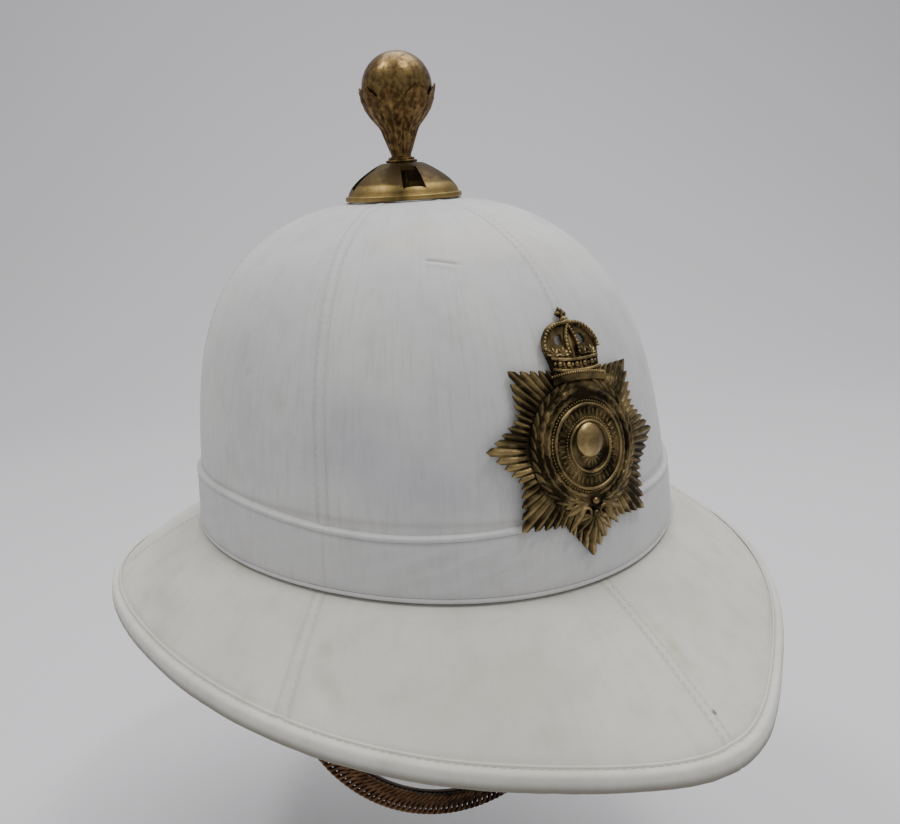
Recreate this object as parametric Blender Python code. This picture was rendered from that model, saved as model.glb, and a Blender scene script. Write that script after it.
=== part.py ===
"""White cloth sun helmet with a brass ball finial, a star plate and a chin chain on leather.

Metres, +Z up. The helmet faces -Y and the wearer's left is +X. The origin is the centre of the
head opening, at the height where the crown meets the brim. Angles round the head start at the
front and grow towards the wearer's right.
"""

import math

import bmesh
import bpy
from mathutils import Matrix, Vector

MM = 0.001
FRONT = 0.0
FULL_TURN = 2 * math.pi

# Clear space where one piece seats on another
GAP = 0.3 * MM

# Crown: a cork dome under six cloth panels
CROWN_HALF_WIDTH = 104 * MM
CROWN_HALF_LENGTH = 111 * MM
CROWN_HEIGHT = 139 * MM
CROWN_WALL = 8 * MM
CROWN_SHOULDER = 3.33       # how long the sides stay upright before they turn in
CROWN_ROUND = 2.71          # how full the shoulder is
TOP_SET_BACK = 8 * MM       # the top's centre lies this far behind the head's centre
SET_BACK_POWER = 1.5        # how late on the way up the crown moves back
SIDE_LEAN = 8 * MM          # how far the sides lean in over the whole height
END_LEAN = 5 * MM           # how far the front and the back lean in
FOOT_SADDLE = 2.9 * MM      # the foot rises this much at the sides
FOOT_FRONT_DROP = 1.5 * MM
VENT_HOLE_RADIUS = 10 * MM
PANELS = 6
SEAM_WIDTH = 4.6 * MM
SEAM_RISE = 0.5 * MM
SEAM_EDGE = 0.8 * MM
CROWN_SEAM_TURN = math.radians(-1.3)

# Band and its piped edges
BAND_TOP = 26 * MM
BAND_SAG = 3.3 * MM         # how much lower its top edge is between the front and the sides
BAND_THICKNESS = 1.6 * MM
PIPING_RADIUS = 0.9 * MM
PIPING_LIFT = 0.8 * MM      # the dark gap under the lower piping
PIPING_PROUD = 0.3 * MM     # how far the piping stands out past the band

# Brim, measured along the ground from the head's centre to its very edge
BRIM_HALF_WIDTH = 144.4 * MM
BRIM_FRONT = 162 * MM
BRIM_BACK = 188 * MM
BRIM_POINT = 17 * MM        # how far the front comes to a point past its round
BRIM_BACK_POINT = 4 * MM
BRIM_EDGE_FRONT = -50.5 * MM
BRIM_EDGE_SIDE = -28.5 * MM
BRIM_EDGE_BACK = -46 * MM
BRIM_FULLNESS = 2.12        # 2 is an ellipse, more is squarer
POINT_SHARPNESS = 17
BRIM_THICKNESS = 3.5 * MM
BRIM_DROOP = 0.23           # share of the drop that grows with the square of the reach
BRIM_SEAM_RISE = 0.4 * MM
BRIM_SEAM_WIDTH = 4.2 * MM

# Cloth that wraps the brim's rim
BINDING_REACH = 5.6 * MM    # how far it lies over the brim's top
BINDING_UNDER = 4.5 * MM
BINDING_CLOTH = 0.8 * MM
BINDING_ROLL = 1.9 * MM     # padding past the cork's rim
BINDING_PUFF = 0.4 * MM

# Vent dome under the ball
DOME_RADIUS = 25.7 * MM
DOME_HEIGHT = 15.6 * MM
DOME_RIM = 2.2 * MM
DOME_WALL = 1.2 * MM
SLOTS = 4
SLOT_WIDTH = 8.3 * MM
SLOT_LENGTH = 11.3 * MM
SLOT_PLACE = 0.67           # the slots' middle, as a share of the dome's radius
SLOT_TURN = math.radians(21.5)   # the first slot lies this far towards the wearer's right

# Neck, leaf cup and ball
COLLAR_RADIUS = 7.1 * MM
COLLAR_HEIGHT = 2.3 * MM
COLLAR_TAPER = 0.88
NECK_RADIUS = 4.4 * MM
NECK_HEIGHT = 11.0 * MM
BALL_RADIUS = 15.3 * MM
CUP_WALL = 0.6 * MM
CUP_BOTTOM = 1.6 * MM
LEAVES = 8
LEAF_TIP = 1.0 * MM         # how far the leaf tips reach past the ball's middle
LEAF_NOTCH = 5.0 * MM       # how deep the rim dips between two leaves
LEAF_CURL = 0.1 * MM

# Post and bar that hold the finial down, inside
POST_RADIUS = 2.4 * MM
BAR_WIDTH = 7 * MM
BAR_THICKNESS = 2 * MM
BAR_SEAT = 6 * MM           # how far the bar bears on the crown past the vent hole
BAR_MARGIN = 4.6 * MM       # from the bar's ends to the edge of the flat that it bears on

# Star plate, measured along the crown's front
PLATE_UP = 53.5 * MM        # its centre above the crown's foot
PLATE_SHIFT = -3.1 * MM     # its centre towards the wearer's right of the front seam
PLATE_TILT = math.radians(4.5)
STAR_RADIUS = 41 * MM
STAR_POINTS = 8
RAYS_PER_POINT = 5
PLATE_THICKNESS = 0.9 * MM
RAY_RISE = 0.9 * MM
PLATE_STAND_OFF = 1.0 * MM  # the top's clear space to the crown
CREST_FOOT = 0.66           # the crest's foot sinks into the rays here, as a share of the star
CREST_TOP = 52.3 * MM
CREST_HALF_WIDTH = 13 * MM
CREST_THICKNESS = 2.2 * MM

# Chin strap: leather with the chain on its outer side
STRAP_LENGTH = 406 * MM
STRAP_WIDTH = 12 * MM
LEATHER_THICKNESS = 1.5 * MM
CHAIN_WIDTH = 13 * MM
CHAIN_THICKNESS = 3.2 * MM
CHAIN_FLAT = 0.7            # share of the chain's width between its rounded sides
STRAP_PLACE = -9 * MM       # the strap's ends, along Y
STRAP_LEAN = math.radians(12)    # the loop hangs forward of its ends, set by wear
STRAP_ROLL = math.radians(60)    # under the chin the chain's face turns this far forward
STRAP_TAB = 22 * MM         # bare leather above the chain at each end
STRAP_TOP = 15 * MM         # the leather's end above the head opening
WALL_CLEARANCE = 1.0 * MM   # between the chain and the crown's inner wall

# Rivets at the strap's ends
RIVET_HEAD = 4.5 * MM
RIVET_RISE = 1.8 * MM
RIVET_SHANK = 1.6 * MM
RIVET_COLLAR = 3.2 * MM
RIVET_DEPTH = 4.5 * MM      # how deep the shank sits in the crown's wall
RIVET_BELOW_END = 6 * MM

# How finely the solids are cut up
PANEL_COLUMNS = 6
TURNED_SEGMENTS = 24
PIPING_SIDES = 5
RIVET_SIDES = 12
STRAP_STEPS = 34
STRAIGHT_STEPS = 3
SHARP_ANGLE = math.radians(40)

# Heights of the crown's sections, as shares of its height
CROWN_OUTER_ROWS = (0.0, 0.2, 0.38, 0.54, 0.67, 0.78, 0.87, 0.935, 0.975, 0.993)
CROWN_INNER_ROWS = (0.98, 0.87, 0.67, 0.38, 0.0)

# The brim's sections, as shares of its slope
BRIM_TOP_ROWS = (0.0, 0.14, 0.34, 0.56, 0.78)
BRIM_BOTTOM_ROWS = (0.7, 0.38, 0.1)

# Round the padded edge: reach in shares of the padding and its cloth, depth in brim thicknesses
BINDING_SECTIONS = (
    ("upper", 0.6, -0.1),
    ("outermost", 1.0, 0.5),
    ("lower", 0.53, 1.2),
)

# The dome's outside above its rim: radius and height, as shares of the dome's
DOME_SECTIONS = (
    ("above_rim", 0.965, 0.0),
    ("low", 0.90, 0.24),
    ("middle", 0.745, 0.52),
    ("high", 0.53, 0.79),
    ("crown", 0.38, 0.95),
    ("top", 0.29, 1.0),
)

# The neck's flare from the collar to the cup: height share, and radius share between neck and ball
NECK_SECTIONS = (
    ("waist", 0.10, 0.0),
    ("low", 0.45, 0.15),
    ("flare", 0.75, 0.26),
    ("under_cup", 1.0, 0.36),
)

# The cup's outside: share of its radius, and height past the ball's middle in ball radii
CUP_SECTIONS = (
    ("under", 0.55, -0.98),
    ("belly_low", 0.68, -0.82),
    ("belly", 0.86, -0.57),
    ("side", 0.955, -0.34),
)

# The cup's inside: degrees below the ball's middle
BOWL_STEPS = (26, 47, 68)
BOWL_HALF_STEP = 11

# The plate's relief inside its rays: radius share of the star, height in plate thicknesses
PLATE_RELIEF = (
    ("dome_shoulder", 0.10, 4.4),
    ("dome_side", 0.17, 3.1),
    ("dome_foot", 0.205, 1.5),
    ("ring_inner", 0.255, 1.6),
    ("ring_inner_bead", 0.275, 2.6),
    ("ring_face", 0.355, 2.2),
    ("ring_outer_bead", 0.375, 2.7),
    ("ring_outer", 0.40, 1.6),
    ("wreath_top", 0.46, 3.0),
    ("wreath_outer", 0.545, 2.4),
    ("ray_root", 0.575, 1.3),
)
PLATE_DOME_RISE = 4.9

# The plate's back, from its rays inwards: radius shares of the star
PLATE_BACK_RINGS = (0.72, 0.5, 0.25)

# Ray tips and the valleys after them, one row for each ray of a point, as shares of the star
RAY_TIPS = (
    ("middle", 1.0, 0.90),
    ("next", 0.93, 0.825),
    ("outer", 0.85, 0.765),
    ("outer_far", 0.85, 0.825),
    ("next_far", 0.93, 0.90),
)

# Half outline of the crest, from its foot up: shares of its half width and of its height
CREST_OUTLINE = (
    ("foot", 0.84, 0.0),
    ("rim", 0.90, 0.17),
    ("swell", 1.0, 0.34),
    ("arch", 0.88, 0.53),
    ("shoulder", 0.52, 0.66),
    ("dip", 0.16, 0.70),
    ("arm_low", 0.16, 0.80),
    ("arm", 0.30, 0.86),
    ("arm_top", 0.16, 0.92),
    ("tip", 0.10, 1.0),
)

# Half of the pierced openings beside the crest's middle arch
CREST_OPENING = (
    ("low_inner", 0.20, 0.30),
    ("low_outer", 0.62, 0.30),
    ("side", 0.68, 0.44),
    ("high", 0.42, 0.56),
    ("top_inner", 0.20, 0.58),
)


def clear_scene():
    for thing in list(bpy.data.objects):
        bpy.data.objects.remove(thing, do_unlink=True)


def material(name, color, roughness, metallic=0.0):
    made = bpy.data.materials.new(name)
    made.use_nodes = True
    shader = made.node_tree.nodes["Principled BSDF"]
    shader.inputs["Base Color"].default_value = (*color, 1.0)
    shader.inputs["Roughness"].default_value = roughness
    shader.inputs["Metallic"].default_value = metallic
    made.diffuse_color = (*color, 1.0)
    return made


def mesh_object(name, mesh, surface):
    """A closed body with its faces out, shaded smooth but for its edges."""
    shell = bmesh.new()
    shell.from_mesh(mesh)
    bmesh.ops.recalc_face_normals(shell, faces=shell.faces)
    shell.to_mesh(mesh)
    shell.free()
    mesh.shade_smooth()
    mesh.set_sharp_from_angle(angle=SHARP_ANGLE)
    if surface:
        mesh.materials.append(surface)
    made = bpy.data.objects.new(name, mesh)
    bpy.context.scene.collection.objects.link(made)
    return made


def mesh_from_points(name, points, faces):
    mesh = bpy.data.meshes.new(name)
    mesh.from_pydata([tuple(p) for p in points], [], faces)
    mesh.update()
    return mesh


def closed_ring(name, stations, surface):
    """A ring whose section is the list of stations, each a closed line of points round the head."""
    count = len(stations[0])
    points = [p for line in stations for p in line]
    faces = []
    for j in range(len(stations)):
        k = (j + 1) % len(stations)
        for i in range(count):
            n = (i + 1) % count
            faces.append((j * count + i, j * count + n, k * count + n, k * count + i))
    return mesh_object(name, mesh_from_points(name, points, faces), surface)


def turned(name, profile, surface, segments=TURNED_SEGMENTS):
    """A body turned about Z from rows of radius and height, or of one such spot for each column.

    A row on the axis is a pole. A profile that starts off the axis closes on itself.
    """
    points = []
    rows = []
    for row in profile:
        spots = row if isinstance(row, list) else [row]
        if spots[0][0] == 0.0:
            rows.append([len(points)] * segments)
            points.append(Vector((0, 0, spots[0][1])))
            continue
        rows.append([len(points) + i for i in range(segments)])
        for i in range(segments):
            radius, height = spots[i % len(spots)]
            a = FULL_TURN * i / segments
            points.append(Vector((radius * math.cos(a), radius * math.sin(a), height)))
    closed = len(set(rows[0])) > 1
    faces = []
    for j in range(len(rows) if closed else len(rows) - 1):
        low, high = rows[j], rows[(j + 1) % len(rows)]
        for i in range(segments):
            n = (i + 1) % segments
            corners = (low[i], low[n], high[n], high[i])
            faces.append(tuple(dict.fromkeys(corners)))
    return mesh_object(name, mesh_from_points(name, points, faces), surface)


def cutter(name, mesh):
    made = mesh_object(name, mesh, None)
    made.hide_render = True
    made.display_type = "WIRE"
    return made


def cut_with(target, tool, operation="DIFFERENCE"):
    boolean = target.modifiers.new(tool.name, "BOOLEAN")
    boolean.operation = operation
    boolean.object = tool
    boolean.solver = "EXACT"


def rod_mesh(name, radius, start, end, segments=12):
    """A plain round bar from one point to another."""
    bar = bmesh.new()
    run = Vector(end) - Vector(start)
    turn = run.to_track_quat("Z", "Y").to_matrix().to_4x4()
    place = Matrix.Translation((Vector(start) + Vector(end)) / 2) @ turn
    bmesh.ops.create_cone(bar, cap_ends=True, segments=segments, radius1=radius, radius2=radius,
                          depth=run.length, matrix=place)
    mesh = bpy.data.meshes.new(name)
    bar.to_mesh(mesh)
    bar.free()
    return mesh


def box_mesh(name, size, place):
    block = bmesh.new()
    bmesh.ops.create_cube(block, size=1.0, matrix=place @ Matrix.Diagonal((*size, 1.0)))
    mesh = bpy.data.meshes.new(name)
    block.to_mesh(mesh)
    block.free()
    return mesh


def columns(radius, seam_width, turn=0.0):
    """Angles round the head, each with 1 on a seam and 0 beside it, for seams of one width."""
    half = seam_width / 2 / radius
    edge = half + SEAM_EDGE / radius
    panel = FULL_TURN / PANELS
    found = []
    for k in range(PANELS):
        centre = turn + k * panel
        found.append((centre - half, 1))
        found.append((centre + half, 1))
        for j in range(PANEL_COLUMNS + 2):
            share = j / (PANEL_COLUMNS + 1)
            found.append((centre + edge + share * (panel - 2 * edge), 0))
    return found


def foot_height(t):
    return -FOOT_SADDLE * math.cos(2 * t) - FOOT_FRONT_DROP * math.cos(t)


def width_share(u):
    """The crown's width at a share of its height, as a share of its foot's."""
    return max(0.0, 1 - u ** CROWN_SHOULDER) ** (1 / CROWN_ROUND)


def height_of_width(share):
    """The share of the height at which the crown has a share of its foot's width."""
    return (1 - share ** CROWN_ROUND) ** (1 / CROWN_SHOULDER)


def crown_point(t, u, grow=0.0):
    """A point of the crown at an angle and a share of its height, on a surface moved out by grow."""
    share = width_share(u)
    half_width = CROWN_HALF_WIDTH + grow
    half_length = CROWN_HALF_LENGTH + grow
    x = -(half_width - SIDE_LEAN * u) * share * math.sin(t)
    y = -(half_length - END_LEAN * u) * share * math.cos(t) + TOP_SET_BACK * u ** SET_BACK_POWER
    z = foot_height(t) * (1 - u) + (CROWN_HEIGHT + grow) * u
    return Vector((x, y, z))


def crown_radius(u, grow=0.0):
    """The crown's mean radius at a share of its height."""
    return width_share(u) * ((CROWN_HALF_WIDTH + CROWN_HALF_LENGTH) / 2 + grow)


def crown_line(u, grow=0.0, raised=0.0):
    """Points round the crown at a share of its height, raised on the seams."""
    spots = columns(crown_radius(u), SEAM_WIDTH, CROWN_SEAM_TURN)
    return [crown_point(t, u, grow + raised * on_seam) for t, on_seam in spots]


def level_ring(radius, height, raised=0.0):
    """Points of a level ring round the top's axis, raised on the seams."""
    line = []
    for t, on_seam in columns(radius, SEAM_WIDTH, CROWN_SEAM_TURN):
        x = -radius * math.sin(t)
        y = TOP_SET_BACK - radius * math.cos(t)
        line.append(Vector((x, y, height + raised * on_seam)))
    return line


def seat_radius():
    """The radius of the flat round the vent hole, inside the crown."""
    return VENT_HOLE_RADIUS + BAR_SEAT + BAR_MARGIN


def bar_seat_height():
    share = seat_radius() / (CROWN_HALF_WIDTH - CROWN_WALL)
    return (CROWN_HEIGHT - CROWN_WALL) * height_of_width(share)


def crown_top_height(radius):
    """The height of the crown's outside at a distance from the axis of its top."""
    return CROWN_HEIGHT * height_of_width(radius / CROWN_HALF_WIDTH)


def strap_half_width():
    """From the head's middle plane to the middle of the leather, where the strap runs straight."""
    inside = CROWN_HALF_WIDTH - CROWN_WALL
    return inside - WALL_CLEARANCE - CHAIN_THICKNESS - GAP - LEATHER_THICKNESS / 2


def strap_spot(x, down):
    """A point of the strap's own plane, which leans forward below its ends."""
    return Vector((x, STRAP_PLACE - down * math.sin(STRAP_LEAN), STRAP_TOP - down * math.cos(STRAP_LEAN)))


def rivet_spot(x):
    return strap_spot(x, RIVET_BELOW_END)


def rivet_height():
    return rivet_spot(0.0).z


def inner_wall_at_rivet():
    """How far the flats of the crown's inner wall lie from the middle plane over the rivets."""
    front_edge = RIVET_COLLAR - rivet_spot(0.0).y
    side = -math.acos(front_edge / (CROWN_HALF_LENGTH - CROWN_WALL))
    low = crown_point(side, 0.0, -CROWN_WALL)
    high = crown_point(side, CROWN_INNER_ROWS[-2], -CROWN_WALL)
    share = (rivet_height() + RIVET_COLLAR - low.z) / (high.z - low.z)
    half_step = math.pi / (PANELS * (PANEL_COLUMNS + 1))
    return low.lerp(high, share).x * math.cos(half_step)


def crown(cloth):
    stations = [crown_line(u, 0.0, SEAM_RISE) for u in CROWN_OUTER_ROWS]
    stations.append(level_ring(VENT_HOLE_RADIUS, crown_top_height(VENT_HOLE_RADIUS), SEAM_RISE))
    stations.append(level_ring(VENT_HOLE_RADIUS, bar_seat_height()))
    stations.append(level_ring(seat_radius(), bar_seat_height()))
    stations += [crown_line(u, -CROWN_WALL) for u in CROWN_INNER_ROWS]
    made = closed_ring("crown", stations, cloth)
    wall = inner_wall_at_rivet()
    for side, sign in (("left", 1), ("right", -1)):
        start = rivet_spot(sign * (wall - CROWN_WALL))
        end = rivet_spot(sign * (wall + RIVET_DEPTH + GAP))
        name = f"crown_bore_{side}"
        cut_with(made, cutter(name, rod_mesh(name, RIVET_SHANK + GAP, start, end)))


def band_grow():
    """From the crown's surface to the band's inner side."""
    return SEAM_RISE + GAP


def band_foot(t):
    """The height of the band's lower edge above the crown's foot, clear of the lower piping."""
    return PIPING_LIFT + 2 * PIPING_RADIUS + GAP


def band_top(t):
    """The height of the band's upper edge, which sags between the front and the sides."""
    return BAND_TOP - BAND_SAG * math.sin(2 * t) ** 2


def edge_line(edge, above, grow):
    """Points round the crown that follow an edge of the band at a distance above it."""
    spots = columns(crown_radius(0.0), SEAM_WIDTH, CROWN_SEAM_TURN)
    return [crown_point(t, (edge(t) + above) / CROWN_HEIGHT, grow) for t, on_seam in spots]


def band(cloth):
    inner = band_grow()
    outer = inner + BAND_THICKNESS
    corners = ((band_foot, inner), (band_foot, outer), (band_top, outer), (band_top, inner))
    closed_ring("band", [edge_line(edge, 0.0, grow) for edge, grow in corners], cloth)


def piping(name, edge, side, cloth):
    """A round cord over (1) or under (-1) an edge of the band, standing a little proud of it."""
    middle = band_grow() + BAND_THICKNESS + PIPING_PROUD - PIPING_RADIUS
    height = side * (GAP + PIPING_RADIUS)
    stations = []
    for k in range(PIPING_SIDES):
        a = FULL_TURN * k / PIPING_SIDES
        above = height + PIPING_RADIUS * math.sin(a)
        stations.append(edge_line(edge, above, middle + PIPING_RADIUS * math.cos(a)))
    closed_ring(name, stations, cloth)


def brim_foot(t):
    """Where the brim's slope starts, just outside the band."""
    grow = band_grow() + BAND_THICKNESS
    point = crown_point(t, 0.0, grow)
    point.z = foot_height(t) - GAP
    return point


def brim_edge(t):
    """The very edge of the brim, round at the sides and drawn to a point at the front."""
    c, s = math.cos(t), math.sin(t)
    power = BRIM_FULLNESS
    swell = (abs(c) ** power + abs(s) ** power) ** (-1 / power)
    forward = c > 0
    reach = BRIM_FRONT if forward else BRIM_BACK
    point = BRIM_POINT if forward else BRIM_BACK_POINT
    x = -BRIM_HALF_WIDTH * s * swell
    y = -(reach * swell + point * abs(c) ** POINT_SHARPNESS) * c
    end = BRIM_EDGE_FRONT if forward else BRIM_EDGE_BACK
    return Vector((x, y, BRIM_EDGE_SIDE * s * s + end * c * c))


def brim_top(t, w):
    """A point of the brim's top at a share of its slope."""
    foot, edge = brim_foot(t), brim_edge(t)
    point = foot.lerp(edge, w)
    point.z = foot.z + (edge.z - foot.z) * ((1 - BRIM_DROOP) * w + BRIM_DROOP * w * w)
    return point


def brim_frame(t, w):
    """A point of the brim's top with its outward slope and its upward normal there."""
    point = brim_top(t, w)
    step = 0.01
    out = (brim_top(t, w + step) - brim_top(t, w - step)).normalized()
    level = Vector((out.x, out.y, 0.0)).normalized()
    up = Vector((-level.x * out.z, -level.y * out.z, math.hypot(out.x, out.y)))
    return point, out, up


def rim_share(t):
    """The share of the slope where the cork ends, inside the padded binding."""
    length = (brim_edge(t) - brim_foot(t)).length
    return 1 - (BINDING_ROLL + BINDING_CLOTH) / length


def brim_line(w, depth, raised=0.0):
    """Points round the brim at a share of its slope, sunk by depth below its top."""
    radius = (CROWN_HALF_WIDTH + (BRIM_HALF_WIDTH - CROWN_HALF_WIDTH) * w)
    line = []
    for t, on_seam in columns(radius, BRIM_SEAM_WIDTH):
        point, out, up = brim_frame(t, w)
        line.append(point + up * (raised * on_seam - depth))
    return line


def rim_line(along, above, raised=0.0):
    """Points round the cork's rim, moved along the slope and above the cork's top."""
    line = []
    for t, on_seam in columns(BRIM_HALF_WIDTH, BRIM_SEAM_WIDTH):
        point, out, up = brim_frame(t, rim_share(t))
        line.append(point + out * along + up * (above + raised * on_seam))
    return line


def ledge_line(grow, depth):
    """Points round the flat ledge that carries the crown's foot."""
    line = []
    for t, on_seam in columns(CROWN_HALF_WIDTH, BRIM_SEAM_WIDTH):
        point = crown_point(t, 0.0, grow)
        point.z = foot_height(t) - GAP - depth
        line.append(point)
    return line


def brim(cloth):
    stations = [ledge_line(-CROWN_WALL, 0.0)]
    stations += [brim_line(w, 0.0, BRIM_SEAM_RISE if w else 0.0) for w in BRIM_TOP_ROWS]
    stations.append(rim_line(0.0, 0.0, BRIM_SEAM_RISE))
    stations.append(rim_line(0.0, -BRIM_THICKNESS))
    stations += [brim_line(w, BRIM_THICKNESS) for w in BRIM_BOTTOM_ROWS]
    stations.append(ledge_line(-CROWN_WALL, BRIM_THICKNESS))
    closed_ring("brim", stations, cloth)


def brim_binding(cloth):
    """Cloth folded over the rim: over the top, round the padded edge and under the brim."""
    top = GAP
    under = -BRIM_THICKNESS - GAP
    stations = [
        rim_line(-BINDING_REACH, top, BRIM_SEAM_RISE),
        rim_line(-BINDING_REACH, top + BINDING_CLOTH, BRIM_SEAM_RISE),
        rim_line(-BINDING_ROLL / 2, top + BINDING_CLOTH + BINDING_PUFF, BRIM_SEAM_RISE),
    ]
    for name, reach, depth in BINDING_SECTIONS:
        stations.append(rim_line((BINDING_ROLL + BINDING_CLOTH) * reach, -BRIM_THICKNESS * depth))
    stations += [
        rim_line(-BINDING_UNDER, under - BINDING_CLOTH),
        rim_line(-BINDING_UNDER, under),
        rim_line(GAP, under),
        rim_line(GAP, top, BRIM_SEAM_RISE),
    ]
    closed_ring("brim_binding", stations, cloth)


def finial_seat():
    """The height of the dome's rim on the crown."""
    return crown_top_height(DOME_RADIUS) + SEAM_RISE + GAP


def dome_top():
    return finial_seat() + DOME_HEIGHT


def place_finial(piece):
    piece.location.y = TOP_SET_BACK


def vent_dome(brass):
    seat = finial_seat()
    rise = DOME_HEIGHT - DOME_RIM
    outer = [(DOME_RADIUS, seat), (DOME_RADIUS, seat + DOME_RIM)]
    outer += [(DOME_RADIUS * r, seat + DOME_RIM + rise * h) for name, r, h in DOME_SECTIONS]
    hole = POST_RADIUS + GAP
    outer.append((hole, dome_top()))
    inner = [(hole, dome_top() - DOME_WALL)]
    for name, r, h in reversed(DOME_SECTIONS):
        inner.append((DOME_RADIUS * r - DOME_WALL, seat + DOME_RIM + rise * h - DOME_WALL))
    inner.append((inner[-1][0], seat))
    made = turned("vent_dome", outer + inner, brass)
    place_finial(made)
    middle = Vector((0, -DOME_RADIUS * SLOT_PLACE, seat + DOME_RIM + DOME_HEIGHT / 2))
    size = (SLOT_WIDTH, SLOT_LENGTH, DOME_HEIGHT)
    for k in range(SLOTS):
        turn = Matrix.Rotation(-SLOT_TURN - k * FULL_TURN / SLOTS, 4, "Z")
        place = Matrix.Translation((0, TOP_SET_BACK, 0)) @ turn @ Matrix.Translation(middle)
        name = f"dome_slot_{k + 1}"
        cut_with(made, cutter(name, box_mesh(name, size, place)))


def bowl_radius():
    """The cup's inner radius at its corners, so that its flats clear the ball."""
    flats = math.cos(math.radians(BOWL_HALF_STEP)) * math.cos(math.pi / TURNED_SEGMENTS)
    return (BALL_RADIUS + GAP) / flats


def ball_middle():
    return dome_top() + GAP + COLLAR_HEIGHT + NECK_HEIGHT + CUP_BOTTOM + bowl_radius()


def leaf_cup(brass):
    """Collar, flared neck and a cup whose rim is cut into leaves that curl round the ball."""
    foot = dome_top() + GAP
    neck_foot = foot + COLLAR_HEIGHT
    centre = ball_middle()
    bowl = bowl_radius()
    shell = bowl + CUP_WALL
    bore = POST_RADIUS + GAP
    rows = [
        (0.0, foot + NECK_HEIGHT),
        (bore, foot + NECK_HEIGHT),
        (bore, foot),
        (COLLAR_RADIUS, foot),
        (COLLAR_RADIUS * COLLAR_TAPER, neck_foot),
    ]
    for name, h, r in NECK_SECTIONS:
        rows.append((NECK_RADIUS + (shell - NECK_RADIUS) * r, neck_foot + NECK_HEIGHT * h))
    for name, r, h in CUP_SECTIONS:
        rows.append((shell * r, centre + BALL_RADIUS * h))
    rows.append([leaf_spot(shell + LEAF_CURL, centre, i) for i in range(TURNED_SEGMENTS)])
    rows.append([leaf_spot(bowl, centre, i) for i in range(TURNED_SEGMENTS)])
    for below in BOWL_STEPS:
        a = math.radians(below)
        rows.append((bowl * math.cos(a), centre - bowl * math.sin(a)))
    rows.append((0.0, centre - bowl))
    place_finial(turned("leaf_cup", rows, brass))


def leaf_spot(radius, centre, i):
    """The rim's spot at a column: leaf tips reach past the middle, and notches dip between them."""
    wave = (1 + math.cos(FULL_TURN * i * LEAVES / TURNED_SEGMENTS)) / 2
    lift = LEAF_TIP - LEAF_NOTCH * (1 - wave)
    return math.sqrt(radius * radius - lift * lift), centre + lift


def finial_ball(brass):
    ball = bmesh.new()
    bmesh.ops.create_uvsphere(ball, u_segments=20, v_segments=12, radius=BALL_RADIUS)
    mesh = bpy.data.meshes.new("finial_ball")
    ball.to_mesh(mesh)
    ball.free()
    made = mesh_object("finial_ball", mesh, brass)
    made.location = (0.0, TOP_SET_BACK, ball_middle())


def finial_post(brass):
    """A post from the neck through the dome and the vent hole to a bar that bears on the crown."""
    bar_middle = bar_seat_height() - GAP - BAR_THICKNESS / 2
    start = (0, TOP_SET_BACK, bar_middle)
    end = (0, TOP_SET_BACK, dome_top() + NECK_HEIGHT - GAP)
    made = mesh_object("finial_post", rod_mesh("finial_post", POST_RADIUS, start, end), brass)
    size = (2 * (VENT_HOLE_RADIUS + BAR_SEAT), BAR_WIDTH, BAR_THICKNESS)
    bar = box_mesh("post_bar", size, Matrix.Translation(start))
    cut_with(made, cutter("post_bar", bar), "UNION")


def front_share(arc):
    """The share of the crown's height at a distance up along its front."""
    steps = 200
    walked = 0.0
    last = crown_point(FRONT, 0.0)
    for k in range(1, steps):
        here = crown_point(FRONT, k / steps)
        walked += (here - last).length
        if walked >= arc:
            return k / steps
        last = here
    return 1.0


def plate_back(up):
    """The plate's clear space above the crown: over the band's piping below, close above."""
    over_piping = band_grow() + BAND_THICKNESS + PIPING_PROUD + GAP
    piping_top = BAND_TOP + GAP + 2 * PIPING_RADIUS
    share = min(1.0, max(0.0, (up - piping_top) / (PLATE_UP + CREST_TOP - piping_top)))
    return over_piping + (PLATE_STAND_OFF - over_piping) * share


def on_crown(flat):
    """Wraps a point of the flat plate, x across, z up and -y out, onto the crown's front."""
    across = flat.x * math.cos(PLATE_TILT) + flat.z * math.sin(PLATE_TILT) + PLATE_SHIFT
    up = flat.z * math.cos(PLATE_TILT) - flat.x * math.sin(PLATE_TILT) + PLATE_UP
    u = front_share(up)
    t = -across / (CROWN_HALF_WIDTH * width_share(u))
    step = 0.001
    point = crown_point(t, u)
    aside = crown_point(t - step, u) - point
    above = crown_point(t, u + step) - point
    normal = aside.cross(above).normalized()
    return point + normal * (plate_back(up) - flat.y)


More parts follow.
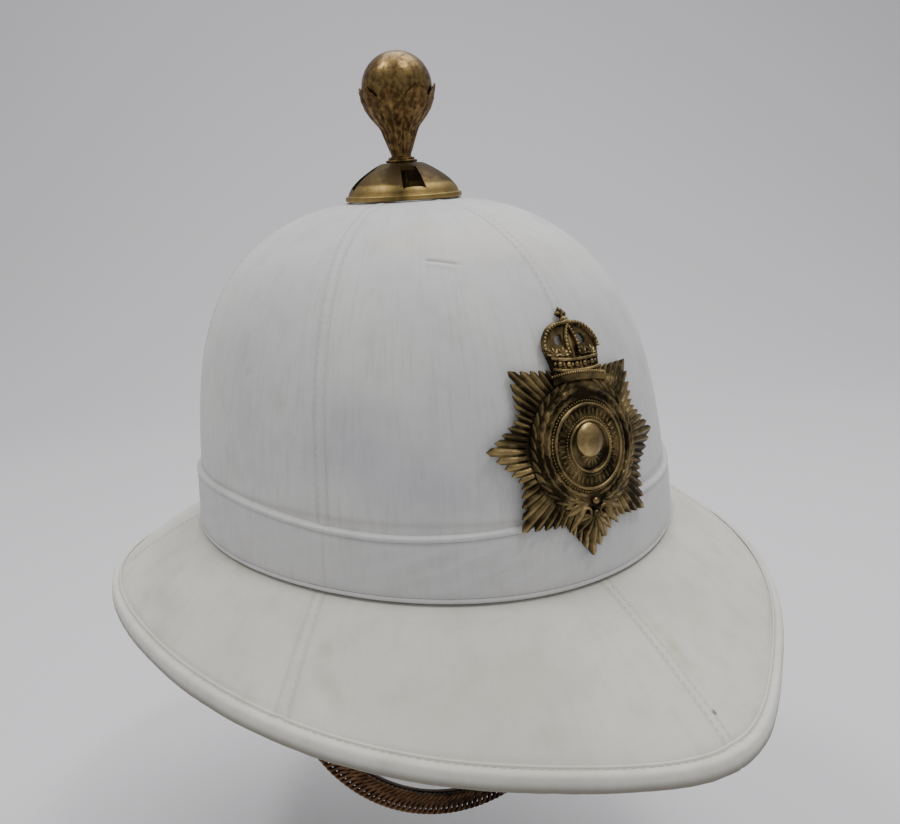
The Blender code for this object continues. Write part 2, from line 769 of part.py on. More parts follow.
def star_mesh():
    """The rayed star, flat: its relief on the front, its back plain."""
    rays = STAR_POINTS * RAYS_PER_POINT
    start = math.pi / 2
    points = [Vector((0, -PLATE_THICKNESS * PLATE_DOME_RISE, 0))]
    faces = []
    rings = []
    for name, share, rise in PLATE_RELIEF:
        rings.append(len(points))
        for i in range(rays):
            a = start + FULL_TURN * i / rays
            radius = STAR_RADIUS * share
            points.append(Vector((radius * math.cos(a), -PLATE_THICKNESS * rise, radius * math.sin(a))))
    for i in range(rays):
        n = (i + 1) % rays
        faces.append((0, rings[0] + i, rings[0] + n))
        for low, high in zip(rings, rings[1:]):
            faces.append((low + i, high + i, high + n, low + n))
    front = len(points)
    outline = ray_outline(start)
    for x, z, ridge in outline:
        points.append(Vector((x, -PLATE_THICKNESS - RAY_RISE * ridge, z)))
    back = len(points)
    for x, z, ridge in outline:
        points.append(Vector((x, 0, z)))
    back_rings = []
    for share in PLATE_BACK_RINGS:
        back_rings.append(len(points))
        for i in range(rays):
            a = start + FULL_TURN * i / rays
            points.append(Vector((STAR_RADIUS * share * math.cos(a), 0, STAR_RADIUS * share * math.sin(a))))
    centre = len(points)
    points.append(Vector((0, 0, 0)))
    count = len(outline)
    root = rings[-1]
    rim = back_rings[0]
    for i in range(rays):
        n = (i + 1) % rays
        tip = front + 2 * i
        valley = tip + 1
        after = front + (2 * i + 2) % count
        faces.append((root + i, tip, valley))
        faces.append((root + i, valley, root + n))
        faces.append((root + n, valley, after))
        tip = back + 2 * i
        valley = tip + 1
        after = back + (2 * i + 2) % count
        faces.append((rim + i, valley, tip))
        faces.append((rim + i, rim + n, valley))
        faces.append((rim + n, after, valley))
        for low, high in zip(back_rings, back_rings[1:]):
            faces.append((low + i, high + i, high + n, low + n))
        faces.append((back_rings[-1] + i, centre, back_rings[-1] + n))
    for j in range(count):
        k = (j + 1) % count
        faces.append((front + j, back + j, back + k, front + k))
    return mesh_from_points("star", points, faces)


def ray_outline(start):
    """The star's serrated outline: a tip and a valley for each ray, with the tips ridged."""
    rays = STAR_POINTS * RAYS_PER_POINT
    found = []
    for i in range(rays):
        name, tip, valley = RAY_TIPS[i % RAYS_PER_POINT]
        a = start + FULL_TURN * i / rays
        b = start + FULL_TURN * (i + 0.5) / rays
        found.append((STAR_RADIUS * tip * math.cos(a), STAR_RADIUS * tip * math.sin(a), 1.0))
        found.append((STAR_RADIUS * valley * math.cos(b), STAR_RADIUS * valley * math.sin(b), 0.0))
    return found


def crest_mesh():
    """The arched crown on top of the star, flat, pierced on both sides of its middle arch."""
    foot = STAR_RADIUS * CREST_FOOT
    height = CREST_TOP - foot
    shape = bmesh.new()
    right = [(CREST_HALF_WIDTH * x, foot + height * z) for name, x, z in CREST_OUTLINE]
    left = [(-x, z) for x, z in reversed(right)]
    loops = [right + left]
    hole = [(CREST_HALF_WIDTH * x, foot + height * z) for name, x, z in CREST_OPENING]
    loops.append(hole)
    loops.append([(-x, z) for x, z in hole])
    edges = []
    for loop in loops:
        corners = [shape.verts.new((x, 0, z)) for x, z in loop]
        for a, b in zip(corners, corners[1:] + corners[:1]):
            edges.append(shape.edges.new((a, b)))
    filled = bmesh.ops.triangle_fill(shape, use_beauty=True, edges=edges)
    faces = [f for f in filled["geom"] if isinstance(f, bmesh.types.BMFace)]
    grown = bmesh.ops.extrude_face_region(shape, geom=faces)
    moved = [v for v in grown["geom"] if isinstance(v, bmesh.types.BMVert)]
    bmesh.ops.translate(shape, verts=moved, vec=(0, -CREST_THICKNESS, 0))
    mesh = bpy.data.meshes.new("crest")
    shape.to_mesh(mesh)
    shape.free()
    return mesh


def helmet_plate(brass):
    """The star and its crest in one stamping, bent to the crown's front."""
    star = mesh_object("flat_star", star_mesh(), None)
    crest = mesh_object("flat_crest", crest_mesh(), None)
    cut_with(star, crest, "UNION")
    graph = bpy.context.evaluated_depsgraph_get()
    mesh = bpy.data.meshes.new_from_object(star.evaluated_get(graph))
    for flat in (star, crest):
        bpy.data.objects.remove(flat, do_unlink=True)
    for vertex in mesh.vertices:
        vertex.co = on_crown(vertex.co)
    mesh.name = "helmet_plate"
    mesh_object("helmet_plate", mesh, brass)


def strap_path(start, outward):
    """Spots of the strap with its directions across and outward, from one end round to the other.

    start is the bare length left out at each end, and outward moves the line away from the chin.
    """
    radius = strap_half_width()
    straight = (STRAP_LENGTH - math.pi * radius) / 2
    path = []
    for k in range(STRAIGHT_STEPS):
        down = start + (straight - start) * k / STRAIGHT_STEPS
        path.append((-radius, down, Vector((-1, 0, 0)), 0.0))
    for k in range(STRAP_STEPS + 1):
        a = math.pi * k / STRAP_STEPS
        out = strap_spot(-math.cos(a), math.sin(a)) - strap_spot(0.0, 0.0)
        roll = STRAP_ROLL * math.sin(a)
        path.append((-radius * math.cos(a), straight + radius * math.sin(a), out, roll))
    for k in range(STRAIGHT_STEPS):
        down = straight + (start - straight) * (k + 1) / STRAIGHT_STEPS
        path.append((radius, down, Vector((1, 0, 0)), 0.0))
    back = Vector((0, math.cos(STRAP_LEAN), -math.sin(STRAP_LEAN)))
    rolled = []
    for x, down, out, roll in path:
        face = out * math.cos(roll) - back * math.sin(roll)
        aside = back * math.cos(roll) + out * math.sin(roll)
        rolled.append((strap_spot(x, down) + face * outward, aside, face))
    return rolled


def strip(name, path, section, surface):
    """A strip along a path. The section gives each corner's place across and outward."""
    points = []
    for spot, aside, out in path:
        for across, outward in section:
            points.append(spot + aside * across + out * outward)
    count = len(section)
    faces = [tuple(range(count))]
    for j in range(len(path) - 1):
        for i in range(count):
            n = (i + 1) % count
            start, end = j * count + i, (j + 1) * count + n
            faces.append((start, j * count + n, end))
            faces.append((start, end, (j + 1) * count + i))
    last = (len(path) - 1) * count
    faces.append(tuple(last + i for i in reversed(range(count))))
    return mesh_object(name, mesh_from_points(name, points, faces), surface)


def strap_leather(leather):
    half = STRAP_WIDTH / 2
    thick = LEATHER_THICKNESS / 2
    section = ((-half, -thick), (half, -thick), (half, thick), (-half, thick))
    made = strip("strap_leather", strap_path(0.0, 0.0), section, leather)
    for side, sign in (("left", 1), ("right", -1)):
        start = rivet_spot(sign * (strap_half_width() - LEATHER_THICKNESS))
        end = rivet_spot(sign * (strap_half_width() + LEATHER_THICKNESS))
        name = f"leather_hole_{side}"
        cut_with(made, cutter(name, rod_mesh(name, RIVET_SHANK + GAP, start, end)))


def chin_chain(brass):
    """The chain's outer form: a flat band of links along the leather's outer side."""
    half = CHAIN_WIDTH / 2
    flat = half * CHAIN_FLAT
    thick = CHAIN_THICKNESS / 2
    section = ((-half, 0), (-flat, thick), (flat, thick), (half, 0), (flat, -thick), (-flat, -thick))
    outward = LEATHER_THICKNESS / 2 + GAP + thick
    strip("chin_chain", strap_path(STRAP_TAB, outward), section, brass)


def strap_rivet(side, sign, brass):
    """A rivet through the leather's end, with a collar against the wall and a shank in it."""
    leather = strap_half_width()
    wall = inner_wall_at_rivet()
    inner = leather - LEATHER_THICKNESS / 2 - GAP
    outer = leather + LEATHER_THICKNESS / 2 + GAP
    domed = math.radians(45)
    profile = [
        (0.0, inner - RIVET_RISE),
        (RIVET_HEAD * math.cos(domed), inner - RIVET_RISE * math.sin(domed)),
        (RIVET_HEAD, inner),
        (RIVET_SHANK, inner),
        (RIVET_SHANK, outer),
        (RIVET_COLLAR, outer),
        (RIVET_COLLAR, wall - GAP),
        (RIVET_SHANK, wall - GAP),
        (RIVET_SHANK, wall + RIVET_DEPTH),
        (0.0, wall + RIVET_DEPTH),
    ]
    made = turned(f"strap_rivet_{side}", profile, brass, RIVET_SIDES)
    made.location = rivet_spot(0.0)
    made.rotation_euler.y = sign * math.pi / 2


def build():
    clear_scene()
    crown_cloth = material("white_cotton_cover", (0.56, 0.56, 0.57), 0.85)
    brim_cloth = material("brim_cotton_cover", (0.60, 0.60, 0.57), 0.85)
    band_cloth = material("band_cotton", (0.53, 0.53, 0.53), 0.85)
    brass = material("finial_brass", (0.42, 0.31, 0.15), 0.35, 1.0)
    dark_brass = material("plate_brass", (0.20, 0.15, 0.08), 0.5, 1.0)
    leather = material("strap_leather", (0.08, 0.05, 0.035), 0.6)
    crown(crown_cloth)
    band(band_cloth)
    piping("band_bottom_piping", band_foot, -1, band_cloth)
    piping("band_top_piping", band_top, 1, band_cloth)
    brim(brim_cloth)
    brim_binding(brim_cloth)
    vent_dome(brass)
    leaf_cup(brass)
    finial_ball(brass)
    finial_post(brass)
    helmet_plate(dark_brass)
    strap_leather(leather)
    chin_chain(dark_brass)
    strap_rivet("left", 1, brass)
    strap_rivet("right", -1, brass)


build()
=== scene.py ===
"""Looks of a white cloth sun helmet with brass fittings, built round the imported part.

Metres, +Z up. The front faces -Y and the wearer's left is +X. Angles round the head start at the
front and grow towards the wearer's right.
"""

import math

import bmesh
import bpy
from mathutils import Matrix, Vector, noise


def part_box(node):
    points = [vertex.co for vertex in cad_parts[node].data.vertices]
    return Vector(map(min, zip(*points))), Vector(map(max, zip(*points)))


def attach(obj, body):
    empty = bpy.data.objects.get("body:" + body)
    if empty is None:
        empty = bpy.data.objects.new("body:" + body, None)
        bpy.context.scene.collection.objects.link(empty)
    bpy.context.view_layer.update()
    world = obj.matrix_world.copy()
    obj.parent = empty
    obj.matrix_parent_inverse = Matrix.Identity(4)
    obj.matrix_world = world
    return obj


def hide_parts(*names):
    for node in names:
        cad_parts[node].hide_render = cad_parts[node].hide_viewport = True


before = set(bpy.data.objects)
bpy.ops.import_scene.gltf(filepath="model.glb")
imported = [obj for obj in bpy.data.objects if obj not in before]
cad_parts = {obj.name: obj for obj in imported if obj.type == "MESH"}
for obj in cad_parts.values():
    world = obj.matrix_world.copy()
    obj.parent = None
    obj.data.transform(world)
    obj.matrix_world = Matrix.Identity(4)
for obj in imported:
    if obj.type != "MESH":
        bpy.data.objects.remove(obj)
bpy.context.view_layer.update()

MM = 0.001
FULL_TURN = 2 * math.pi
BODY = "root"
GAP = 0.3 * MM

# Crown, as the frame has it
CROWN_HALF_WIDTH = 104 * MM
CROWN_HALF_LENGTH = 111 * MM
CROWN_HEIGHT = 139 * MM
CROWN_WALL = 8 * MM
CROWN_SHOULDER = 3.33
CROWN_ROUND = 2.71
TOP_SET_BACK = 8 * MM
SET_BACK_POWER = 1.5
SIDE_LEAN = 8 * MM
END_LEAN = 5 * MM
FOOT_SADDLE = 2.9 * MM
FOOT_FRONT_DROP = 1.5 * MM
VENT_HOLE_RADIUS = 10 * MM
BAR_SEAT_RADIUS = 20.6 * MM
PANELS = 6
SEAM_WIDTH = 4.6 * MM
SEAM_RISE = 0.5 * MM
CROWN_SEAM_TURN = math.radians(-1.3)

# Band and its piped edges
BAND_TOP = 26 * MM
BAND_SAG = 3.3 * MM
BAND_THICKNESS = 1.6 * MM
PIPING_RADIUS = 0.9 * MM
PIPING_LIFT = 0.8 * MM
PIPING_PROUD = 0.3 * MM

# Brim
BRIM_HALF_WIDTH = 144.4 * MM
BRIM_FRONT = 162 * MM
BRIM_BACK = 188 * MM
BRIM_POINT = 17 * MM
BRIM_BACK_POINT = 4 * MM
BRIM_EDGE_FRONT = -50.5 * MM
BRIM_EDGE_SIDE = -28.5 * MM
BRIM_EDGE_BACK = -46 * MM
BRIM_FULLNESS = 2.12
POINT_SHARPNESS = 17
BRIM_THICKNESS = 3.5 * MM
BRIM_DROOP = 0.23
BRIM_SEAM_RISE = 0.4 * MM
BRIM_SEAM_WIDTH = 4.2 * MM
BINDING_ROLL = 1.9 * MM
BINDING_CLOTH = 0.8 * MM

# Finial
DOME_RADIUS = 25.7 * MM
DOME_HEIGHT = 15.6 * MM
DOME_RIM = 2.2 * MM
DOME_WALL = 1.2 * MM
SLOTS = 4
SLOT_WIDTH = 8.3 * MM
SLOT_LENGTH = 11.3 * MM
SLOT_PLACE = 0.67
SLOT_TAPER = 0.19           # how much narrower it is at its top and wider at its foot
SLOT_TURN = math.radians(21.5)
COLLAR_HEIGHT = 2.3 * MM
NECK_HEIGHT = 11.0 * MM
BALL_RADIUS = 15.3 * MM
CUP_BOTTOM = 1.6 * MM
BOWL_RADIUS = 16.03 * MM
CUP_RADIUS = 16.63 * MM
LEAVES = 8
LEAF_TIP = 1.0 * MM
LEAF_NOTCH = 5.0 * MM
LEAF_COLUMNS = 26
LEAF_DEPTH_MM = 0.7          # the height of the leaves' relief

# Star plate, measured along the crown's front
PLATE_UP = 53.5 * MM
PLATE_SHIFT = -3.1 * MM
PLATE_TILT = math.radians(4.5)
PLATE_STAND_OFF = 1.0 * MM
STAR_RADIUS = 41 * MM
STAR_POINTS = 8
CREST_TOP = 52.3 * MM

# Chin strap
STRAP_LENGTH = 406 * MM
STRAP_WIDTH = 12 * MM
LEATHER_THICKNESS = 1.5 * MM
CHAIN_WIDTH = 13 * MM
CHAIN_THICKNESS = 3.2 * MM
STRAP_PLACE = -9 * MM
STRAP_LEAN = math.radians(12)
STRAP_ROLL = math.radians(60)
STRAP_TAB = 22 * MM
STRAP_TOP = 15 * MM
WALL_CLEARANCE = 1.0 * MM
RIVET_HEAD = 4.5 * MM
RIVET_RISE = 1.8 * MM
RIVET_BELOW_END = 6 * MM
RIVET_SHANK = 1.6 * MM
RIVET_COLLAR = 3.2 * MM
RIVET_PAST_COLLAR = 4.8 * MM
RIVET_POLE = 0.05 * MM       # the small flat in the middle of a rivet's ends

# Sewing
STITCH_PITCH = 3.1 * MM
STITCH_LENGTH = 2.2 * MM
THREAD_RADIUS = 0.14 * MM
STITCH_INSET = 1.0 * MM      # from a seam's fold to its stitches
STITCH_SINK = 0.12 * MM
STITCH_BED = 0.45 * MM
SEAM_EDGE = 0.9 * MM
SEAM_WORN = 0.6              # share of a seam's rise that wear has left

# The photograph's view
AZIMUTH = math.radians(-35.46)
ELEVATION = math.radians(14.69)
ROLL = math.radians(-3.28)
DISTANCE = 440.7 * MM
AIM = Vector((8.6, -5.7, 41.5)) * MM
LENS_MM = 38.0
SENSOR_MM = 36.0

FLOOR_BELOW = 215 * MM       # the studio floor below the head opening


def linear(code):
    """An sRGB hex colour as linear red, green, blue and alpha."""
    parts = [int(code[k:k + 2], 16) / 255 for k in (1, 3, 5)]
    straight = [c / 12.92 if c <= 0.04045 else ((c + 0.055) / 1.055) ** 2.4 for c in parts]
    return (*straight, 1.0)


def add(tree, kind, sockets=None, **settings):
    """Adds a node with its settings, and feeds its sockets with values or other nodes' outputs."""
    made = tree.nodes.new("ShaderNode" + kind)
    for name, value in settings.items():
        setattr(made, name, value)
    for socket, value in (sockets or {}).items():
        if isinstance(value, bpy.types.NodeSocket):
            tree.links.new(value, made.inputs[socket])
        else:
            made.inputs[socket].default_value = value
    return made


def start_material(name, roughness, metallic=0.0):
    made = bpy.data.materials.new(name)
    made.use_nodes = True
    shader = made.node_tree.nodes["Principled BSDF"]
    shader.inputs["Roughness"].default_value = roughness
    shader.inputs["Metallic"].default_value = metallic
    return made, made.node_tree, shader


def clamp(x):
    return max(0.0, min(1.0, x))


def ease(x):
    """0 below 0, 1 above 1 and smooth between."""
    x = clamp(x)
    return x * x * (3 - 2 * x)


def bell(x):
    return math.exp(-x * x)


def blend(low, high, share):
    return low + (high - low) * share


def rough(point, size):
    """Smooth noise between -1 and 1, with bumps about as wide as size."""
    return noise.noise(point / size)


def waves(point, bumps):
    """Slack in cloth: noises added up, each given by the width and height of its bumps in mm."""
    return sum(height * MM * rough(point, width * MM) for width, height in bumps)


class Shape:
    """Points and faces gathered for one piece, with how worn or soiled each point is; in places this also
    holds painted shade.
    """

    def __init__(self):
        self.points = []
        self.faces = []
        self.wear = []

    def add(self, points, faces, wear=0.0):
        first = len(self.points)
        self.points += points
        self.wear += wear if isinstance(wear, list) else [wear] * len(points)
        self.faces += [tuple(first + i for i in face) for face in faces]

    def grid(self, rows, wear=0.0, closed_rows=False, closed_columns=True, capped=False):
        """Quads between rows of as many points each."""
        columns = len(rows[0])
        faces = []
        for j in range(len(rows) if closed_rows else len(rows) - 1):
            k = (j + 1) % len(rows)
            for i in range(columns if closed_columns else columns - 1):
                n = (i + 1) % columns
                faces.append((j * columns + i, j * columns + n, k * columns + n, k * columns + i))
        if capped:
            faces.append(tuple(range(columns)))
            faces.append(tuple((len(rows) - 1) * columns + i for i in range(columns)))
        points = [p for row in rows for p in row]
        if isinstance(wear, list):
            wear = [w for row in wear for w in row]
        self.add(points, faces, wear)

    def piece(self, name, surface, slot, replaced=(), sharp=40.0):
        """The mesh object, faces out, riding on the body in place of the nodes named."""
        mesh = bpy.data.meshes.new(name)
        mesh.from_pydata([tuple(p) for p in self.points], [], self.faces)
        shell = bmesh.new()
        shell.from_mesh(mesh)
        bmesh.ops.recalc_face_normals(shell, faces=shell.faces)
        shell.to_mesh(mesh)
        shell.free()
        mesh.shade_smooth()
        mesh.set_sharp_from_angle(angle=math.radians(sharp))
        # The wear attribute holds real rubbing and dirt, and in places painted shade, a painted reflection
        # and a painted highlight.
        mesh.attributes.new("wear", "FLOAT", "POINT").data.foreach_set("value", self.wear)
        made = bpy.data.objects.new(name, mesh)
        bpy.context.scene.collection.objects.link(made)
        mount(made, surface, replaced)
        return made


class Rows:
    """Rows of points over the same columns, with how worn or soiled each point is; in places this also
    holds painted shade.
    """

    def __init__(self, columns):
        self.columns = columns
        self.points = []
        self.wear = []

    def lay(self, place):
        """Lays the next row: place(column) gives a point and its wear value, which in places also holds
        painted shade.
        """
        laid = [place(column) for column in self.columns]
        self.points.append([point for point, wear in laid])
        self.wear.append([wear for point, wear in laid])

    def shape(self, **closing):
        made = Shape()
        made.grid(self.points, self.wear, **closing)
        return made


def mount(made, surface, replaced=()):
    made.data.materials.clear()
    made.data.materials.append(surface)
    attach(made, BODY)
    for node in replaced:
        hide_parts(node)


def smooth_line(spots, steps):
    """A smooth line through the spots, with so many steps between each two."""
    padded = [spots[0]] + list(spots) + [spots[-1]]
    line = []
    for k in range(1, len(padded) - 2):
        a, b, c, d = padded[k - 1:k + 3]
        for j in range(steps):
            s = j / steps
            line.append(tuple(
                0.5 * (2 * q + (r - p) * s + (2 * p - 5 * q + 4 * r - v) * s * s
                       + (3 * q - p - 3 * r + v) * s ** 3)
                for p, q, r, v in zip(a, b, c, d)))
    line.append(tuple(spots[-1]))
    return line


def turned_rows(profile, centre, segments):
    """Rows of points of a body turned about an upright axis."""
    rows = []
    for radius, height in profile:
        row = []
        for i in range(segments):
            a = FULL_TURN * i / segments
            row.append(centre + Vector((radius * math.cos(a), radius * math.sin(a), height)))
        rows.append(row)
    return rows


def ball_rows(centre, radius, across, up, out, segments=8, steps=5):
    """Rows of a bead from its back pole to its front."""
    rows = []
    for j in range(steps + 1):
        b = math.pi * (blend(0.04, 0.96, j / steps) - 0.5)
        row = []
        for i in range(segments):
            a = FULL_TURN * i / segments
            level = across * math.cos(a) + up * math.sin(a)
            row.append(centre + level * radius * math.cos(b) + out * radius * math.sin(b))
        rows.append(row)
    return rows


def tube_rows(line, radius, up, sides, closed=False):
    """Rows of a round wire along a line. The up direction isn't along the wire."""
    rows = []
    last = len(line) - 1
    for k, spot in enumerate(line):
        before = line[k - 1] if k or closed else line[0]
        after = line[(k + 1) % len(line)] if k < last or closed else line[last]
        along = (after - before).normalized()
        side = along.cross(up).normalized()
        top = side.cross(along)
        reach = radius(k / last) if callable(radius) else radius
        row = []
        for i in range(sides):
            a = FULL_TURN * i / sides
            row.append(spot + side * (reach * math.cos(a)) + top * (reach * math.sin(a)))
        rows.append(row)
    return rows


# Forms of the cork body

def foot_height(t):
    return -FOOT_SADDLE * math.cos(2 * t) - FOOT_FRONT_DROP * math.cos(t)


def width_share(u):
    return max(0.0, 1 - u ** CROWN_SHOULDER) ** (1 / CROWN_ROUND)


def height_of_width(share):
    return (1 - share ** CROWN_ROUND) ** (1 / CROWN_SHOULDER)


def crown_point(t, u, grow=0.0):
    """A point of the crown at an angle and a share of its height."""
    share = width_share(u)
    x = -(CROWN_HALF_WIDTH + grow - SIDE_LEAN * u) * share * math.sin(t)
    y = -(CROWN_HALF_LENGTH + grow - END_LEAN * u) * share * math.cos(t)
    y += TOP_SET_BACK * u ** SET_BACK_POWER
    return Vector((x, y, foot_height(t) * (1 - u) + (CROWN_HEIGHT + grow) * u))


def crown_frame(t, u):
    """A point of the crown and the normal there."""
    step = 0.002
    point = crown_point(t, u)
    aside = crown_point(t - step, u) - point
    above = crown_point(t, min(0.9999, u + step)) - point
    return point, aside.cross(above).normalized()


def crown_radius(u):
    return width_share(u) * (CROWN_HALF_WIDTH + CROWN_HALF_LENGTH) / 2


def brim_foot(t):
    point = crown_point(t, 0.0, SEAM_RISE + GAP + BAND_THICKNESS)
    point.z = foot_height(t) - GAP
    return point


def brim_edge(t):
    """The very edge of the brim, round at the sides and drawn to a point at the front."""
    c, s = math.cos(t), math.sin(t)
    power = BRIM_FULLNESS
    swell = (abs(c) ** power + abs(s) ** power) ** (-1 / power)
    forward = c > 0
    reach = BRIM_FRONT if forward else BRIM_BACK
    point = BRIM_POINT if forward else BRIM_BACK_POINT
    x = -BRIM_HALF_WIDTH * s * swell
    y = -(reach * swell + point * abs(c) ** POINT_SHARPNESS) * c
    end = BRIM_EDGE_FRONT if forward else BRIM_EDGE_BACK
    return Vector((x, y, BRIM_EDGE_SIDE * s * s + end * c * c))


def brim_top(t, w):
    foot, edge = brim_foot(t), brim_edge(t)
    point = foot.lerp(edge, w)
    point.z = foot.z + (edge.z - foot.z) * ((1 - BRIM_DROOP) * w + BRIM_DROOP * w * w)
    return point


def brim_frame(t, w):
    """A point of the brim's top with its outward slope and its upward normal there."""
    step = 0.01
    out = (brim_top(t, w + step) - brim_top(t, w - step)).normalized()
    level = Vector((out.x, out.y, 0.0)).normalized()
    up = Vector((-level.x * out.z, -level.y * out.z, math.hypot(out.x, out.y)))
    return brim_top(t, w), out, up


def brim_length(t):
    return (brim_edge(t) - brim_foot(t)).length


def rim_share(t):
    """The share of the slope where the cork ends, inside the padded binding."""
    return 1 - (BINDING_ROLL + BINDING_CLOTH) / brim_length(t)


def to_seam(t, turn=0.0):
    """The angle from the nearest panel seam."""
    panel = FULL_TURN / PANELS
    return (t - turn + panel / 2) % panel - panel / 2


def lapped_seam(aside, width, rise):
    """Height of a stitched lapped seam, flattened by wear, and the darkness of its folded edges: painted
    shade with some dirt.
    """
    half = width / 2
    height = SEAM_WORN * rise * ease((half - abs(aside)) / SEAM_EDGE)
    for line in (STITCH_INSET - half, half - STITCH_INSET):
        height -= STITCH_SINK * bell((aside - line) / STITCH_BED)
    # The folded edges are painted darker: painted shade at the step, with some dirt.
    return height, 0.42 * bell((abs(aside) - half) / (0.55 * MM))


def panel_angles(turn, radius, width, per_seam, per_panel):
    """Angles round the head, close together on the seams."""
    zone = (width / 2 + 1.6 * MM) / radius
    panel = FULL_TURN / PANELS
    found = []
    for k in range(PANELS):
        centre = turn + k * panel
        for j in range(per_seam):
            found.append(centre + zone * (2 * j / per_seam - 1))
        for j in range(per_panel):
            found.append(centre + zone + (panel - 2 * zone) * j / per_panel)
    return found


def even_angles(count, place):
    """Angles that divide a line round the head into even lengths."""
    fine = 3600
    spots = [place(FULL_TURN * k / fine) for k in range(fine + 1)]
    walked = [0.0]
    for a, b in zip(spots, spots[1:]):
        walked.append(walked[-1] + (b - a).length)
    found = []
    k = 0
    for i in range(count):
        goal = walked[-1] * i / count
        while walked[k + 1] < goal:
            k += 1
        share = (goal - walked[k]) / (walked[k + 1] - walked[k])
        found.append(FULL_TURN * (k + share) / fine)
    return found


# Crown cover

CREASE = (Vector((-37.3, -57.9, 118.8)) * MM, Vector((-25.8, -67.7, 116.0)) * MM)
CREASE_ROWS = (0.832, 0.864)   # the height shares between which the mesh is finer, for the crease
CREASE_WIDTH = 0.75 * MM
CREASE_DEPTH = 0.4 * MM
CROWN_WAVES = ((55, 0.42), (17, 0.16))   # slack in the cover: widths and heights in mm
GATHER_HEIGHT = 0.30 * MM      # of the pleats that run in under the dome
VENT_EDGE = 0.9932             # the height share of the cover's topmost row


def from_line(point, ends):
    """The way to a point from the nearest spot of a short line, and that spot's share along it."""
    run = ends[1] - ends[0]
    share = clamp((point - ends[0]).dot(run) / run.length_squared)
    return (point - ends[0] - run * share), share


def crown_relief(t, u, point):
    """Height of the cloth over the smooth crown, and how dark it is painted there: dirt, and painted shade
    at the seams, in the crease and above the upper cord.
    """
    aside = to_seam(t, CROWN_SEAM_TURN) * crown_radius(u)
    height, soil = lapped_seam(aside, SEAM_WIDTH, SEAM_RISE)
    height += waves(point, CROWN_WAVES)
    gathers = ease((u - 0.84) / 0.1) * ease((0.995 - u) / 0.03)
    spoke = Vector((13 * math.cos(t), 13 * math.sin(t), 4 * u))
    height += GATHER_HEIGHT * gathers * noise.noise(spoke)
    away, share = from_line(point, CREASE)
    fade = ease(share * 6) * ease((1 - share) * 4)
    height -= CREASE_DEPTH * fade * bell(away.length / CREASE_WIDTH)
    height += 0.25 * MM * fade * bell((away.length - 1.9 * MM) / (1.2 * MM)) * (1 if away.z < 0 else 0.3)
    # Painted shade in the crease.
    soil += 0.95 * fade * bell(away.length / (0.65 * MM))
    # Darker in the corner just above the upper cord: painted shade with some dirt.
    soil += 0.5 * bell((u - (BAND_TOP + 3 * MM) / CROWN_HEIGHT) * CROWN_HEIGHT / (1.3 * MM))
    return height, soil


def crown_cover(cloth):
    """The outside up to the vent hole, the hole with its seat for the bar, and the plain inside."""
    rows = Rows(panel_angles(CROWN_SEAM_TURN, CROWN_HALF_WIDTH, SEAM_WIDTH, per_seam=14, per_panel=62))
    steps, crease_steps, inner_steps = 118, 24, 22
    heights = [VENT_EDGE * (1 - (1 - j / steps) ** 1.75) for j in range(steps + 1)]
    heights += [blend(*CREASE_ROWS, (k + 0.5) / crease_steps) for k in range(crease_steps)]
    for u in sorted(heights):
        def outside(t):
            point, out = crown_frame(t, u)
            height, soil = crown_relief(t, u, point)
            return point + out * height, soil
        rows.lay(outside)
    top = CROWN_HEIGHT * height_of_width(VENT_HOLE_RADIUS / CROWN_HALF_WIDTH)
    flat = BAR_SEAT_RADIUS / (CROWN_HALF_WIDTH - CROWN_WALL)
    seat = (CROWN_HEIGHT - CROWN_WALL) * height_of_width(flat)
    # Under the dome the cloth is painted darker: painted shade with some grime.
    for radius, height in ((VENT_HOLE_RADIUS, top), (VENT_HOLE_RADIUS, seat), (BAR_SEAT_RADIUS, seat)):
        rows.lay(lambda t: (
            Vector((-radius * math.sin(t), TOP_SET_BACK - radius * math.cos(t), height)), 0.2))
    for j in range(inner_steps + 1):
        u = 0.975 * (1 - (j / inner_steps) ** 1.6)
        rows.lay(lambda t: (crown_point(t, u, -CROWN_WALL), 0.25))
    return rows.shape(closed_rows=True).piece("crown_cover", cloth, "crown_cloth", ("crown",))


# Band and piping

FOLD_PITCH = 21 * MM         # between the long slanting folds of the band's cloth
SNUG = 0.25 * MM             # how far cloth closes the clear space beside a cord
# The cloth over the upper cord runs into the crown: shares of its stand-off and of its radius
CORD_TAIL = ((0.95, 0.9), (0.68, 1.15), (0.36, 1.45), (0.08, 1.8), (-0.1, 2.1))
CORD_FLUSH = 0.78            # share of its radius by which a cord's side at the band stays out
BAND_LIES = 1.3 * MM         # the band's face past its seams, pressed flat by wear
BAND_JOIN = 1                # the panel seam over which the band's ends overlap
PIPING_SIDES = 9


def band_foot(t):
    return PIPING_LIFT + 2 * PIPING_RADIUS + GAP


def band_top(t):
    """The height of the band's upper edge, which sags between the front and the sides."""
    return BAND_TOP - BAND_SAG * math.sin(2 * t) ** 2


def band_relief(t, z, point):
    """Slack in the band: slow waves and a few long slanting folds, soft on one side."""
    height = 0.12 * MM * rough(point, 30 * MM)
    slant = (t * CROWN_HALF_WIDTH + 2.6 * z) / FOLD_PITCH + 0.6 * rough(point, 80 * MM)
    share = slant % 1
    fold = ease(share / 0.85) * ease((1 - share) / 0.15)
    return height + 0.42 * MM * fold * clamp(0.55 + 0.9 * rough(point, 45 * MM))


